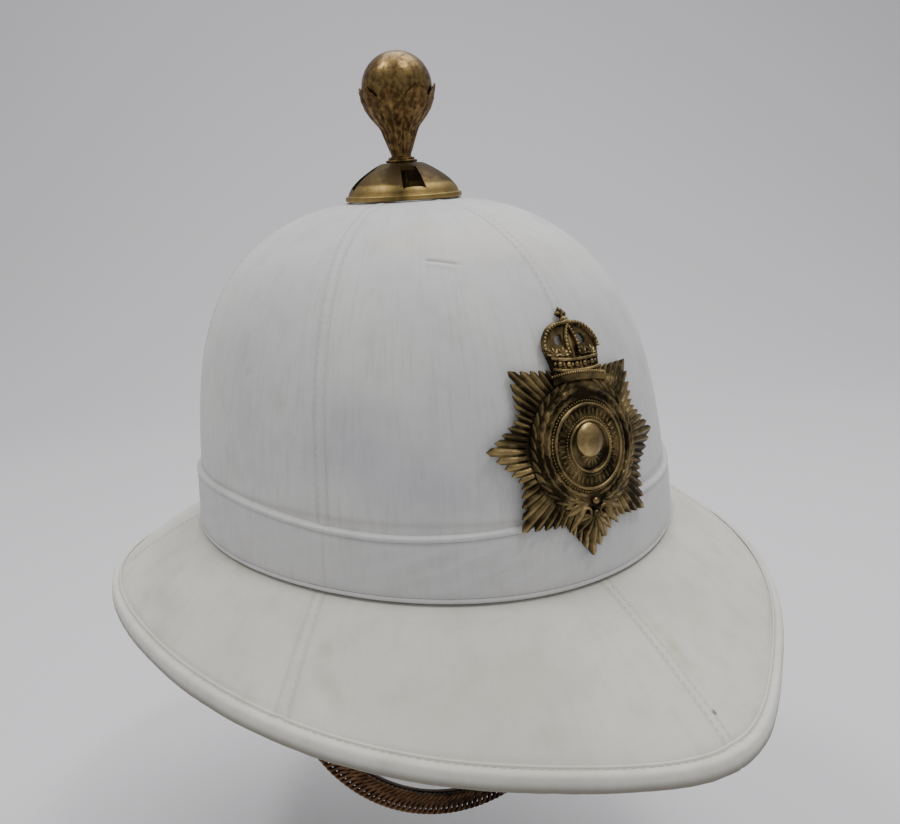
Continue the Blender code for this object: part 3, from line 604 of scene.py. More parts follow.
def band_cloth(cloth):
    """The band's face, with its overlapped join, and its edges tucked in behind the cords."""
    rows = Rows(panel_angles(CROWN_SEAM_TURN, CROWN_HALF_WIDTH, SEAM_WIDTH, per_seam=10, per_panel=90))
    steps = 22
    for j in range(steps + 1):
        ends = min(j, steps - j)
        rounded = 0.2 * MM * (1 - ease(ends / 2))
        flat = ease(ends / 4)

        def face(t):
            z = blend(band_foot(t) - SNUG, band_top(t) + SNUG, j / steps)
            point, out = crown_frame(t, z / CROWN_HEIGHT)
            aside = (t - CROWN_SEAM_TURN - BAND_JOIN * FULL_TURN / PANELS) * CROWN_HALF_WIDTH
            height = SEAM_RISE + BAND_LIES - rounded + band_relief(t, z, point) * flat
            height += 0.2 * MM * ease(aside / (0.5 * MM)) * ease((6 * MM - aside) / (5 * MM)) * flat
            # The band is painted darker along its edges beside the cords and at the overlap's edge:
            # painted shade with some dirt.
            return point + out * height, 0.25 * bell(ends / 1.2) + 0.15 * bell(aside / (0.5 * MM))
        rows.lay(face)
    for edge, side in ((band_top, SNUG), (band_foot, -SNUG)):
        rows.lay(lambda t: (crown_point(t, (edge(t) + side) / CROWN_HEIGHT, SEAM_RISE), 0.3))
    return rows.shape(closed_rows=True).piece("band_cloth", cloth, "band_cloth", ("band",))


def piping(name, node, edge, side, cloth):
    """A cord in a fold of cloth that is tucked in behind it, over (1) or under (-1) the band's edge."""
    shape = Shape()
    angles = even_angles(620, lambda t: crown_point(t, edge(t) / CROWN_HEIGHT))
    middle = SEAM_RISE + BAND_LIES + PIPING_PROUD - PIPING_RADIUS
    section = [(SNUG, -0.8 * PIPING_RADIUS)]
    for k in range(PIPING_SIDES):
        a = math.pi * (k / (PIPING_SIDES - 1) - 0.5)
        reach = max(math.cos(a), CORD_FLUSH) if side * a < 0 else math.cos(a)
        section.append((middle + PIPING_RADIUS * reach, PIPING_RADIUS * math.sin(a)))
    if side > 0:
        section[-2:] = [(share * middle, above * PIPING_RADIUS) for share, above in CORD_TAIL]
    else:
        section.append((SNUG, 0.8 * PIPING_RADIUS))
    rows = []
    for t in angles:
        row = []
        height = edge(t) + side * (GAP + PIPING_RADIUS)
        for grow, above in section:
            u = (height + above) / CROWN_HEIGHT
            spot = crown_point(t, u, grow)
            pucker = 0.05 * MM * rough(spot, 2.6 * MM)
            row.append(spot + crown_frame(t, u)[1] * pucker)
        rows.append(row)
    shape.grid(rows, 0.0, closed_rows=True)
    return shape.piece(name, cloth, "band_cloth", (node,))


# Brim cover and binding

# The brim's binding round the cork's rim, in mm along the slope and above the cork's top
BINDING_SECTION = (
    ("fold_foot", -5.75, 0.12),
    ("fold", -5.95, 0.36),
    ("fold_top", -5.6, 0.66),
    ("bank", -5.2, 0.72),
    ("stitch_bed", -4.6, 0.52),
    ("rise", -3.9, 0.95),
    ("puff", -2.9, 1.5),
    ("crest", -1.9, 1.68),
    ("shoulder", -0.6, 1.2),
    ("upper", 1.25, -0.3),
    ("outermost", 2.65, -2.0),
    ("lower", 2.3, -3.4),
    ("under", 1.0, -4.4),
    ("under_flat", -1.6, -4.75),
    ("under_bed", -3.3, -4.3),
    ("under_bank", -4.1, -4.6),
    ("under_fold", -4.6, -4.15),
)
BINDING_INSIDE = ((-4.1, -3.85), (0.3, -3.85), (0.3, 0.33), (-5.4, 0.33))
BINDING_FOLD = 5.95 * MM     # from the cork's rim in to the binding's fold
BINDING_STITCH = -4.6 * MM
# The two lines of stitches: along the slope, above the cork's top, and which face they are on
BINDING_STITCH_LINES = ((BINDING_STITCH, 0.58 * MM, 1), (-3.3 * MM, -4.3 * MM, -1))
RIM_SHADE_AND_GRIME = 1.8              # how much darker the roll's outer and lower face is painted: painted shade under the roll, with some handling grime
BINDING_WAVES = ((4.2, 0.13), (21, 0.18))   # puckers and slack in its cloth, in mm


def binding_slack(t, along, point):
    """How the binding's cloth bulges between its stitches and puckers at the front point."""
    height = waves(point, BINDING_WAVES)
    outer = ease((along + 4.3 * MM) / (2.8 * MM))
    corner = abs((t + math.pi) % FULL_TURN - math.pi) * BRIM_FRONT
    crease = 0.4 * MM * bell(corner / (0.8 * MM)) - 0.25 * MM * bell((corner - 2.0 * MM) / MM)
    return height * outer - crease * ease((along + BINDING_FOLD) / (1.5 * MM)) * (1 - 0.6 * outer)


def brim_binding(cloth):
    shape = Shape()
    angles = even_angles(880, brim_edge)
    section = smooth_line([(a * MM, h * MM) for name, a, h in BINDING_SECTION], 3)
    inside = [(a * MM, h * MM) for a, h in BINDING_INSIDE]
    rows = []
    soil = []
    for t in angles:
        point, out, up = brim_frame(t, rim_share(t))
        aside = abs(to_seam(t)) * BRIM_HALF_WIDTH
        seam = BRIM_SEAM_RISE * ease((BRIM_SEAM_WIDTH / 2 - aside) / SEAM_EDGE)
        row = []
        grime_and_shade = []
        for along, above in section:
            spot = point + out * along + up * above
            lift = Vector((along + 1.0 * MM, above + 1.8 * MM)).normalized()
            slack = binding_slack(t, along, spot)
            if above > 0:
                slack += 0.7 * seam * ease((0.5 * MM - along) / (3 * MM))
            row.append(spot + out * (lift.x * slack) + up * (lift.y * slack))
            # Darker in the stitch groove: painted shade with some dirt.
            dirt_and_shade = 0.4 * bell((along - BINDING_STITCH) / (0.6 * MM)) if above > 0 else 0.0
            # The roll's outer and lower face is painted darker: painted shade under the roll, with some
            # handling grime.
            outer_face = ease((1.1 * MM - above) / (2.6 * MM)) * ease((along + 4 * MM) / (3 * MM))
            dirt_and_shade += RIM_SHADE_AND_GRIME * outer_face
            # Darker along the fold: painted shade in the groove, with some dirt.
            dirt_and_shade += 0.25 * bell((along + BINDING_FOLD) / (0.4 * MM))
            grime_and_shade.append(dirt_and_shade)
        for along, above in inside:
            row.append(point + out * along + up * above)
            grime_and_shade.append(0.3)
        rows.append(row)
        soil.append(grime_and_shade)
    shape.grid(rows, soil, closed_rows=True)
    return shape.piece("brim_binding_roll", cloth, "brim_cloth", ("brim_binding",))


PLEATS = 5                   # fine pleats that fan out from each seam but the front one
PLEAT_RISE = 0.11 * MM
BRIM_WAVES = ((60, 0.35), (20, 0.10))   # slack in the cover: widths and heights in mm
SEAM_WIDENS = 1.2 * MM       # how much wider the brim's seams are at its rim


def brim_relief(t, w, point):
    """Height of the cloth over the smooth brim, and how dark it is painted there: dirt, painted shade at
    the seams and by the binding, and a painted shadow at its foot.
    """
    radius = math.hypot(point.x, point.y)
    width = blend(BRIM_SEAM_WIDTH, BRIM_SEAM_WIDTH + SEAM_WIDENS, w)
    aside = to_seam(t) * radius
    height, soil = lapped_seam(aside, width, BRIM_SEAM_RISE)
    height += waves(point, BRIM_WAVES)
    if math.cos(t) < 0.9:
        fan = aside / (3 * MM + 8 * MM * w)
        height += PLEAT_RISE * ease(w * 2) * ease(1.4 - abs(fan)) * math.cos(PLEATS * math.pi * fan)
    to_rim = (rim_share(t) - w) * brim_length(t)
    height -= 0.12 * MM * bell((to_rim - BINDING_FOLD) / (2 * MM))
    # Darker in the groove beside the binding's fold: painted shade with some dirt.
    soil += 0.35 * bell((to_rim - BINDING_FOLD - 0.3 * MM) / (0.6 * MM))
    # Darker at the brim's foot: a painted shadow under the lower cord.
    soil += 0.45 * bell(w * brim_length(t) / (1.6 * MM))
    return height * ease((to_rim - BINDING_FOLD + 1.2 * MM) / MM), soil


def brim_cover(cloth):
    """Its top, from the crown's wall out to the cork's rim, and its underside back in."""
    rows = Rows(panel_angles(0.0, BRIM_HALF_WIDTH, BRIM_SEAM_WIDTH, per_seam=16, per_panel=84))

    def lay_ledge(depth):
        def place(t):
            point = crown_point(t, 0.0, -CROWN_WALL)
            point.z = foot_height(t) - GAP - depth
            return point, 0.3
        rows.lay(place)

    lay_ledge(0.0)
    steps, under_steps = 38, 20
    for j in range(steps + 1):
        def top(t):
            w = rim_share(t) * j / steps
            point, out, up = brim_frame(t, w)
            height, soil = brim_relief(t, w, point)
            return point + up * height * ease(j / 2), soil
        rows.lay(top)
    for j in range(under_steps, -1, -1):
        def below(t):
            w = blend(0.05, rim_share(t), j / under_steps)
            point, out, up = brim_frame(t, w)
            aside = to_seam(t) * math.hypot(point.x, point.y)
            seam = lapped_seam(aside, BRIM_SEAM_WIDTH, BRIM_SEAM_RISE)[0]
            covered = 1 - ease(((rim_share(t) - w) * brim_length(t) - 4.8 * MM) / (2 * MM))
            return point - up * (BRIM_THICKNESS + 0.6 * seam * (1 - covered)), 0.25
        rows.lay(below)
    lay_ledge(BRIM_THICKNESS)
    return rows.shape(closed_rows=True).piece("brim_cover", cloth, "brim_cloth", ("brim",))


# Stitches

STITCH_SIDES = 5
# A stitch from end to end: the place from its middle, and its thickness as a share of the thread's
STITCH_FORM = ((-1.0, 0.25), (-0.72, 0.85), (0.0, 1.15), (0.72, 0.85), (1.0, 0.25))


def lay_stitches(shape, line):
    """A run of stitches over a line of spots with their normals, sunk a little at both ends."""
    walked = 0.0
    next_start = STITCH_PITCH / 2
    for (a, n), (b, m) in zip(line, line[1:]):
        step = (b - a).length
        while walked + step >= next_start:
            share = (next_start - walked) / step
            lay_stitch(shape, a.lerp(b, share), (b - a).normalized(), n.lerp(m, share).normalized())
            next_start += STITCH_PITCH
        walked += step


def lay_stitch(shape, middle, along, out):
    side = along.cross(out)
    rows = []
    for share, thick in STITCH_FORM:
        rise = THREAD_RADIUS * (0.55 - 0.9 * share * share)
        centre = middle + along * (share * STITCH_LENGTH / 2) + out * rise
        row = []
        for i in range(STITCH_SIDES):
            a = FULL_TURN * i / STITCH_SIDES
            row.append(centre + (side * math.cos(a) + out * math.sin(a)) * (THREAD_RADIUS * thick))
        rows.append(row)
    shape.grid(rows, capped=True)


def crown_stitches(cloth):
    shape = Shape()
    spots = 150
    for k in range(PANELS):
        for sign in (-1, 1):
            line = []
            for j in range(spots):
                u = blend((BAND_TOP + 3 * MM) / CROWN_HEIGHT, 0.975, j / (spots - 1))
                t = CROWN_SEAM_TURN + k * FULL_TURN / PANELS
                t += sign * (SEAM_WIDTH / 2 - STITCH_INSET) / crown_radius(u)
                point, out = crown_frame(t, u)
                line.append((point + out * crown_relief(t, u, point)[0], out))
            lay_stitches(shape, line)
    return shape.piece("crown_seam_stitches", cloth, "crown_cloth")


def brim_stitches(cloth):
    shape = Shape()
    spots = 50
    for k in range(PANELS):
        seam = k * FULL_TURN / PANELS
        end = rim_share(seam) - (BINDING_FOLD + 0.8 * MM) / brim_length(seam)
        for sign in (-1, 1):
            line = []
            for j in range(spots):
                w = blend(0.03, 1, j / (spots - 1)) * end
                middle = brim_top(seam, w)
                width = blend(BRIM_SEAM_WIDTH, BRIM_SEAM_WIDTH + SEAM_WIDENS, w)
                t = seam + sign * (width / 2 - STITCH_INSET) / math.hypot(middle.x, middle.y)
                point, out, up = brim_frame(t, w)
                line.append((point + up * brim_relief(t, w, point)[0], up))
            lay_stitches(shape, line)
    return shape.piece("brim_seam_stitches", cloth, "brim_cloth")


def binding_stitches(cloth):
    shape = Shape()
    angles = even_angles(700, brim_edge)
    for along, above, side in BINDING_STITCH_LINES:
        line = []
        for t in angles + [FULL_TURN]:
            point, out, up = brim_frame(t, rim_share(t))
            line.append((point + out * along + up * above, up * side))
        lay_stitches(shape, line)
    return shape.piece("binding_stitches", cloth, "brim_cloth")


# Finial

def finial_axis():
    seat = CROWN_HEIGHT * height_of_width(DOME_RADIUS / CROWN_HALF_WIDTH) + SEAM_RISE + GAP
    return Vector((0, TOP_SET_BACK, seat))


# The dome's outside: shares of its radius, and height in mm above its seat
DOME_SECTION = (
    ("seat", 0.985, 0.0),
    ("rim_low", 1.0, 0.45),
    ("rim_high", 1.0, 1.75),
    ("rim_edge", 0.985, 2.15),
    ("groove", 0.962, 2.2),
    ("foot", 0.952, 2.7),
    ("low", 0.90, 5.3),
    ("middle", 0.76, 9.0),
    ("high", 0.56, 12.6),
    ("crown", 0.40, 14.85),
    ("top", 0.30, 15.5),
    ("flat", 0.12, 15.6),
)
POST_HOLE = 2.7 * MM
BALL_WEAR = 0.42
DOME_RUB_AND_REFLECTION = ((0.2, 1.0), (0.45, 0.72), (1.1, 0.0))   # up to a share of its height, how bright it is painted: rubbing and tarnish, with a painted reflection on the low flank and painted shade on the top


# How bright the dome is painted at a height: rubbing and tarnish, with a painted reflection low down and
# painted shade on top.
def dome_rub_and_reflection(height):
    return next(rubbed for top, rubbed in DOME_RUB_AND_REFLECTION if height < top * DOME_HEIGHT)


def vent_dome(metal):
    """The dome with its rim, hollow, with four vents cut through its wall."""
    centre = finial_axis()
    steps = 4
    outside = smooth_line([(DOME_RADIUS * r, h * MM) for name, r, h in DOME_SECTION], steps)
    walled = steps * [name for name, r, h in DOME_SECTION].index("groove")
    inside = [(max(r - DOME_WALL, POST_HOLE), h - DOME_WALL) for r, h in reversed(outside[walled:])]
    inside.append((inside[-1][0], 0.0))
    rows = turned_rows(outside + inside, centre, 96)
    # The low flank is painted bright as a reflection and the top dark as shade, over real rubbing and
    # tarnish.
    wear = [[dome_rub_and_reflection(p.z - centre.z) for p in row] for row in rows]
    shape = Shape()
    shape.grid(rows, wear, closed_rows=True)
    made = shape.piece("vent_dome_brass", metal, "finial_brass", ("vent_dome",), sharp=32.0)
    cut_slots(made, centre)
    return made


def cut_slots(made, centre):
    """Cuts the dome's four vents through its wall, each wider towards the rim."""
    middle = Matrix.Translation((0, -DOME_RADIUS * SLOT_PLACE, DOME_RIM + DOME_HEIGHT / 2))
    size = Matrix.Diagonal((SLOT_WIDTH, SLOT_LENGTH, DOME_HEIGHT, 1.0))
    tools = []
    for k in range(SLOTS):
        turn = Matrix.Rotation(-SLOT_TURN - k * FULL_TURN / SLOTS, 4, "Z")
        block = bmesh.new()
        bmesh.ops.create_cube(block, size=1.0)
        for corner in block.verts:
            corner.co.x *= 1 - SLOT_TAPER * math.copysign(1, corner.co.y)
        block.transform(Matrix.Translation(centre) @ turn @ middle @ size)
        mesh = bpy.data.meshes.new("vent_cut")
        block.to_mesh(mesh)
        block.free()
        tool = bpy.data.objects.new("vent_cut", mesh)
        bpy.context.scene.collection.objects.link(tool)
        cut = made.modifiers.new(f"vent_{k + 1}", "BOOLEAN")
        cut.object = tool
        tools.append(tool)
    graph = bpy.context.evaluated_depsgraph_get()
    whole = bpy.data.meshes.new_from_object(made.evaluated_get(graph))
    made.modifiers.clear()
    made.data = whole
    for tool in tools:
        bpy.data.objects.remove(tool, do_unlink=True)


# The neck and cup: radius in mm, height in mm above the collar's foot, depth of the leaf relief
CUP_SECTION = (
    ("collar_foot", 6.6, -0.28, 0.0),
    ("collar_low", 6.95, 0.1, 0.0),
    ("collar_bead", 6.8, 0.75, 0.0),
    ("collar_step", 5.8, 0.95, 0.0),
    ("collar_ring", 5.85, 1.6, 0.0),
    ("collar_top", 5.3, 1.95, 0.0),
    ("waist", 4.3, 2.5, 0.2),
    ("stem", 4.9, 4.6, 0.5),
    ("stem_high", 5.9, 7.4, 0.7),
    ("flare", 7.2, 11.0, 0.9),
    ("under_cup", 8.5, 14.2, 1.0),
    ("under_leaves", 10.7, 16.9, 1.0),
    ("belly_low", 12.6, 19.2, 1.0),
    ("belly", 14.5, 22.3, 1.0),
    ("side", 15.9, 25.9, 1.0),
)


def ball_middle():
    return DOME_HEIGHT + GAP + COLLAR_HEIGHT + NECK_HEIGHT + CUP_BOTTOM + BOWL_RADIUS


def leaf_relief(a, h):
    """Relief of one acanthus leaf: a runs from -1 to 1 across it and h from 0 to 1 up it."""
    across = abs(a)
    rib = 0.55 * bell(a / 0.09) * (1 - 0.4 * h)
    veins = 0.26 * math.sin(FULL_TURN * (6.2 * h - 1.7 * across)) * ease(across / 0.15) * ease(h / 0.2)
    hollow = -0.35 * bell((across - 0.4) / 0.22) * ease(h / 0.4)
    gap = -0.75 * ease((across - 0.80) / 0.2)
    return rib + veins + hollow + gap


def leaf_cup(metal):
    """Collar, ribbed neck and eight veined leaves whose tips curl away from the ball."""
    centre = finial_axis() + Vector((0, 0, DOME_HEIGHT + GAP))
    ball = finial_axis().z + ball_middle() - centre.z
    columns = LEAVES * LEAF_COLUMNS
    rows = Rows(range(columns))
    section = smooth_line([(r * MM, h * MM, d) for name, r, h, d in CUP_SECTION], 3)
    for radius, height, depth in section:
        def side(i):
            a, lift = leaf_place(i, columns)
            h = clamp((height - 5 * MM) / (24 * MM))
            relief = leaf_relief(a, h) * depth * LEAF_DEPTH_MM * MM
            return cup_spot(centre, radius + relief, height, i, columns), clamp(0.45 + relief / (0.8 * MM))
        rows.lay(side)
    side_height = section[-1][1]
    tip_steps = 9
    for j in range(1, tip_steps + 1):
        def tip(i):
            share = j / tip_steps
            a, lift = leaf_place(i, columns)
            height = blend(side_height, ball + lift, share)
            rise = height - ball
            curl = 0.4 * MM * ease((rise + 3.4 * MM) / (4 * MM)) * (1 - abs(a)) ** 0.5
            radius = math.sqrt(max(0.0, CUP_RADIUS ** 2 - rise * rise)) - 0.1 * MM + curl
            relief = leaf_relief(a, blend(0.87, 1.0, share)) * LEAF_DEPTH_MM * MM * (1 - 0.6 * share)
            return cup_spot(centre, radius + relief, height, i, columns), clamp(0.5 + relief / (0.8 * MM))
        rows.lay(tip)
    for depth in (0.0, 0.35, 0.7, 1.0):
        def bowl(i):
            a, lift = leaf_place(i, columns)
            rise = blend(lift - 0.2 * MM, -BOWL_RADIUS * 0.97, depth)
            radius = math.sqrt(max(0.0, BOWL_RADIUS ** 2 - rise * rise))
            return cup_spot(centre, radius, ball + rise, i, columns), 0.0
        rows.lay(bowl)
    return rows.shape(capped=True).piece("acanthus_cup", metal, "finial_brass", ("leaf_cup",), sharp=50.0)


def cup_spot(centre, radius, height, i, columns):
    a = FULL_TURN * i / columns
    return centre + Vector((radius * math.cos(a), radius * math.sin(a), height))


def leaf_place(i, columns):
    """A column's place across its leaf, and how high the leaf's lobed edge reaches there."""
    share = i * LEAVES / columns
    a = 2 * (share - round(share))
    lobes = 0.5 * MM * abs(math.sin(2.5 * math.pi * a))
    return a, LEAF_TIP - LEAF_NOTCH * abs(a) ** 1.35 - lobes


def finial_ball(metal):
    centre = finial_axis() + Vector((0, 0, ball_middle()))
    shape = Shape()
    axes = Vector((1, 0, 0)), Vector((0, 1, 0)), Vector((0, 0, 1))
    shape.grid(ball_rows(centre, BALL_RADIUS, *axes, segments=72, steps=44), BALL_WEAR, capped=True)
    return shape.piece("finial_ball_brass", metal, "finial_brass", ("finial_ball",))


# Star plate, laid out flat and then bent to the crown. x runs across, z up and y into the crown.

RAYS = 72
RAY_COLUMNS = 8
RAY_TEETH = 2.0 * MM          # how deep the star's edge is cut between two rays
RAY_RIDGE = 1.05 * MM
STAR_NOTCH = 31.2 * MM        # from the middle to the star's notches
PLATE_EDGE = 0.9 * MM
PLATE_STEPS = 400
RIM_HEIGHT_MM = 2.2           # the middle's rings that stand higher than this are rubbed
TOWARDS_EYE = Vector((0, -1, 0))
# A leaf across: the place from its midrib, and its height as a share of its rise
LEAF_SECTION = ((-1, 0.0), (-0.8, 0.45), (-0.42, 0.75), (0, 1.0), (0.42, 0.75), (0.8, 0.45), (1, 0.0))


def front_heights():
    """The crown's height share at even distances up along its front."""
    fine = 2000
    walked = 0.0
    table = [0.0]
    spacing = (PLATE_UP + CREST_TOP + 10 * MM) / PLATE_STEPS
    last = crown_point(0.0, 0.0)
    for k in range(1, fine):
        here = crown_point(0.0, k / fine)
        walked += (here - last).length
        last = here
        while walked >= len(table) * spacing:
            table.append(k / fine)
    return table, spacing


FRONT_HEIGHTS, FRONT_SPACING = front_heights()


def plate_back(up):
    over_piping = SEAM_RISE + 2 * GAP + BAND_THICKNESS + PIPING_PROUD
    piping_top = BAND_TOP + GAP + 2 * PIPING_RADIUS
    share = clamp((up - piping_top) / (PLATE_UP + CREST_TOP - piping_top))
    return blend(over_piping, PLATE_STAND_OFF, share)


def on_crown(flat):
    """Wraps a point of the flat plate onto the crown's front."""
    across = flat.x * math.cos(PLATE_TILT) + flat.z * math.sin(PLATE_TILT) + PLATE_SHIFT
    up = flat.z * math.cos(PLATE_TILT) - flat.x * math.sin(PLATE_TILT) + PLATE_UP
    place = up / FRONT_SPACING
    k = int(place)
    u = blend(FRONT_HEIGHTS[k], FRONT_HEIGHTS[k + 1], place - k)
    t = -across / (CROWN_HALF_WIDTH * width_share(u))
    point, out = crown_frame(t, u)
    return point + out * (plate_back(up) - flat.y)


def flat_spot(radius, angle, height):
    return Vector((radius * math.cos(angle), -height, radius * math.sin(angle)))


# The star's middle: radius and height in mm
PLATE_SECTION = (
    ("middle", 0.6, 2.0),
    ("field", 7.6, 2.0),
    ("field_edge", 8.4, 1.6),
    ("inner_ring", 9.3, 2.5),
    ("ring_face_in", 10.3, 1.9),
    ("ring_face_out", 14.3, 1.9),
    ("outer_ring", 15.3, 2.5),
    ("ring_foot", 16.4, 1.5),
    ("wreath_bed_in", 17.2, 1.5),
    ("wreath_bed", 20.5, 2.1),
    ("wreath_bed_out", 23.6, 1.5),
    ("ray_root", 24.3, 1.0),
)


def star_edge(angle):
    """The straight-sided outline of the star, without its teeth."""
    half = math.pi / STAR_POINTS
    off = abs((angle - math.pi / 2 + half) % (2 * half) - half)
    tip = Vector((STAR_RADIUS, 0.0))
    run = Vector((STAR_NOTCH * math.cos(half), STAR_NOTCH * math.sin(half))) - tip
    return tip.x * run.y / (math.cos(off) * run.y - math.sin(off) * run.x)


def ray_place(angle):
    """How far from its ridge a spot of a ray is, from 0 to 1, and how far out the ray's edge is there."""
    pitch = FULL_TURN / RAYS
    turn = ((angle - math.pi / 2) / pitch + 0.5) % 1 - 0.5
    off = abs(turn) * 2
    return off, star_edge(angle - turn * pitch) - RAY_TEETH * off


def lay_star(shape):
    """Fluted rays round a stepped middle, with a flat back."""
    columns = RAYS * RAY_COLUMNS
    rows = Rows([FULL_TURN * i / columns for i in range(columns)])
    for name, radius, height in PLATE_SECTION:
        rubbed = 0.35 if height > RIM_HEIGHT_MM else 0.1
        rows.lay(lambda angle: (flat_spot(radius * MM, angle, height * MM), rubbed))
    root = PLATE_SECTION[-1][1] * MM
    steps = 12
    for j in range(1, steps + 1):
        def ray(angle):
            share = j / steps
            off, reach = ray_place(angle)
            ridge = 1 - off ** 1.4
            lift = 0.45 * MM * (1 - abs(to_star_point(angle)))
            rise = RAY_RIDGE * ridge * ease(share * 5) * blend(1.0, 0.55, share)
            height = PLATE_EDGE * 0.55 + lift + rise
            rubbed = clamp(ridge * 1.15 - 0.15) * blend(0.6, 1.0, share)
            return flat_spot(blend(root, reach, share), angle, height), rubbed
        rows.lay(ray)
    rows.lay(lambda angle: (flat_spot(blend(root, ray_place(angle)[1], 1.0), angle, 0.0), 0.1))
    for radius in (26 * MM, 12 * MM, 0.6 * MM):
        rows.lay(lambda angle: (flat_spot(radius, angle, 0.0), 0.0))
    shape.grid(rows.points, rows.wear, capped=True)


def to_star_point(angle):
    """-1 to 1 from one notch of the star to the next, 0 on its point."""
    half = math.pi / STAR_POINTS
    return ((angle - math.pi / 2 + half) % (2 * half) - half) / half


def lay_bead(shape, place, radius, wear=0.8, segments=8):
    """A round bead half sunk in the plate."""
    rows = ball_rows(place, radius, Vector((1, 0, 0)), Vector((0, 0, 1)), TOWARDS_EYE, segments)
    shape.grid(rows, wear, capped=True)


def lay_beads(shape, radius, height, size, count):
    for k in range(count):
        lay_bead(shape, flat_spot(radius, FULL_TURN * k / count, height), size, 0.85)


def lay_leaf(shape, root, heading, length, width, base, rise):
    """A pointed leaf with a midrib, on the plate, from its root along its heading."""
    along = Vector((math.cos(heading), 0, math.sin(heading)))
    side = Vector((-along.z, 0, along.x))
    steps = 7
    rows = []
    for j in range(steps + 1):
        share = j / steps
        half = width / 2 * math.sin(math.pi * blend(0.04, 0.97, share) ** 0.85)
        lift = base + rise * math.sin(math.pi * min(1.0, share * 0.9 + 0.15))
        row = []
        for across, high in LEAF_SECTION:
            depth = Vector((0, -(base + (lift - base) * high), 0))
            row.append(root + along * (length * share) + side * (half * across) + depth)
        row.append(root + along * (length * share) + Vector((0, -base * 0.4, 0)))
        rows.append(row)
    wear = [high * 0.8 for across, high in LEAF_SECTION] + [0.0]
    shape.grid(rows, [wear] * len(rows), capped=True)


def lay_wreath(shape):
    """Two laurel branches from the bottom up both sides, their leaves overlapping."""
    for sign in (-1, 1):
        for row, radius in enumerate((18.3 * MM, 20.6 * MM, 22.9 * MM)):
            for k in range(15):
                turn = math.radians(8 + 10.4 * k + (5.2 if row == 1 else 0))
                angle = -math.pi / 2 + sign * turn
                heading = angle + sign * (math.pi / 2 + math.radians((14, 0, -16)[row]))
                root = Vector((radius * math.cos(angle), 0, radius * math.sin(angle)))
                lay_leaf(shape, root, heading, 5.4 * MM, 2.5 * MM, (1.6, 2.1, 1.5)[row] * MM, 0.75 * MM)
    lay_bead(shape, flat_spot(20 * MM, -math.pi / 2, 2.4 * MM), 1.5 * MM)


def lay_ring(shape):
    """Rope and bead rings, with short upright bars between them."""
    turns, bars = 96, 40
    for radius, height, size in ((9.3 * MM, 2.5 * MM, 0.42 * MM), (15.4 * MM, 2.5 * MM, 0.5 * MM)):
        line = [flat_spot(radius, FULL_TURN * k / turns, height) for k in range(turns)]
        shape.grid(tube_rows(line, size, TOWARDS_EYE, 8, closed=True), 0.9, closed_rows=True)
    lay_beads(shape, 16.5 * MM, 1.7 * MM, 0.5 * MM, 84)
    lay_beads(shape, 10.5 * MM, 1.95 * MM, 0.4 * MM, 60)
    for k in range(bars):
        angle = FULL_TURN * (k + 0.5) / bars
        ends = (11.5 * MM, 14.1 * MM) if k % 2 else (12.0 * MM, 13.7 * MM)
        line = [flat_spot(blend(*ends, s / 3), angle, 2.05 * MM) for s in range(4)]
        shape.grid(tube_rows(line, 0.38 * MM, TOWARDS_EYE, 6), 0.7, capped=True)


def lay_boss(shape):
    """The polished oval boss in the middle, over a small spray of leaves."""
    middle = Vector((-0.3 * MM, 0, 2.3 * MM))
    rows = []
    steps = 12
    for j in range(steps + 1):
        b = math.pi / 2 * (1 - j / steps * 0.985)
        row = []
        for i in range(40):
            a = FULL_TURN * i / 40
            spot = Vector((6.3 * MM * math.cos(a), 0, 6.6 * MM * math.sin(a))) * math.sin(b)
            row.append(middle + spot + Vector((0, -(1.8 * MM + 3.0 * MM * math.cos(b)), 0)))
        rows.append(row)
    shape.grid(rows, 1.0, capped=True)
    for k in range(7):
        heading = -math.pi / 2 + math.radians(26 * (k - 3))
        root = Vector((0, 0, -2.6 * MM))
        lay_leaf(shape, root, heading, 5.2 * MM, 1.9 * MM, 1.9 * MM, 0.7 * MM)


def lay_ribbon(shape):
    """A plain ribbon over the wreath's top with a beaded edge, and its ends below."""
    half, sag = 12.6 * MM, 1.3 * MM
    section = ((24.2, 0.5), (24.0, 1.5), (24.3, 2.3), (26.6, 2.3), (26.9, 1.5), (26.8, 0.5))
    rows = []
    for k in range(37):
        share = 2 * k / 36 - 1
        wave = 0.10 * MM * math.sin(k * 1.1)
        drop = sag * share * share
        rows.append([Vector((half * share, -h * MM - wave, z * MM - drop)) for z, h in section])
    shape.grid(rows, 0.6, capped=True)
    beads = 25
    for k in range(beads):
        share = 2 * k / (beads - 1) - 1
        spot = Vector((half * share, -2.1 * MM, 27.2 * MM - sag * share * share))
        lay_bead(shape, spot, 0.55 * MM, 0.9)
    for sign in (-1, 1):
        for bend, length in ((-24, 12.5), (6, 10.0)):
            heading = -math.pi / 2 + sign * math.radians(62 + bend)
            root = Vector((sign * 3.5 * MM, 0, -20.5 * MM))
            lay_leaf(shape, root, heading, length * MM, 3.4 * MM, 2.3 * MM, 0.8 * MM)


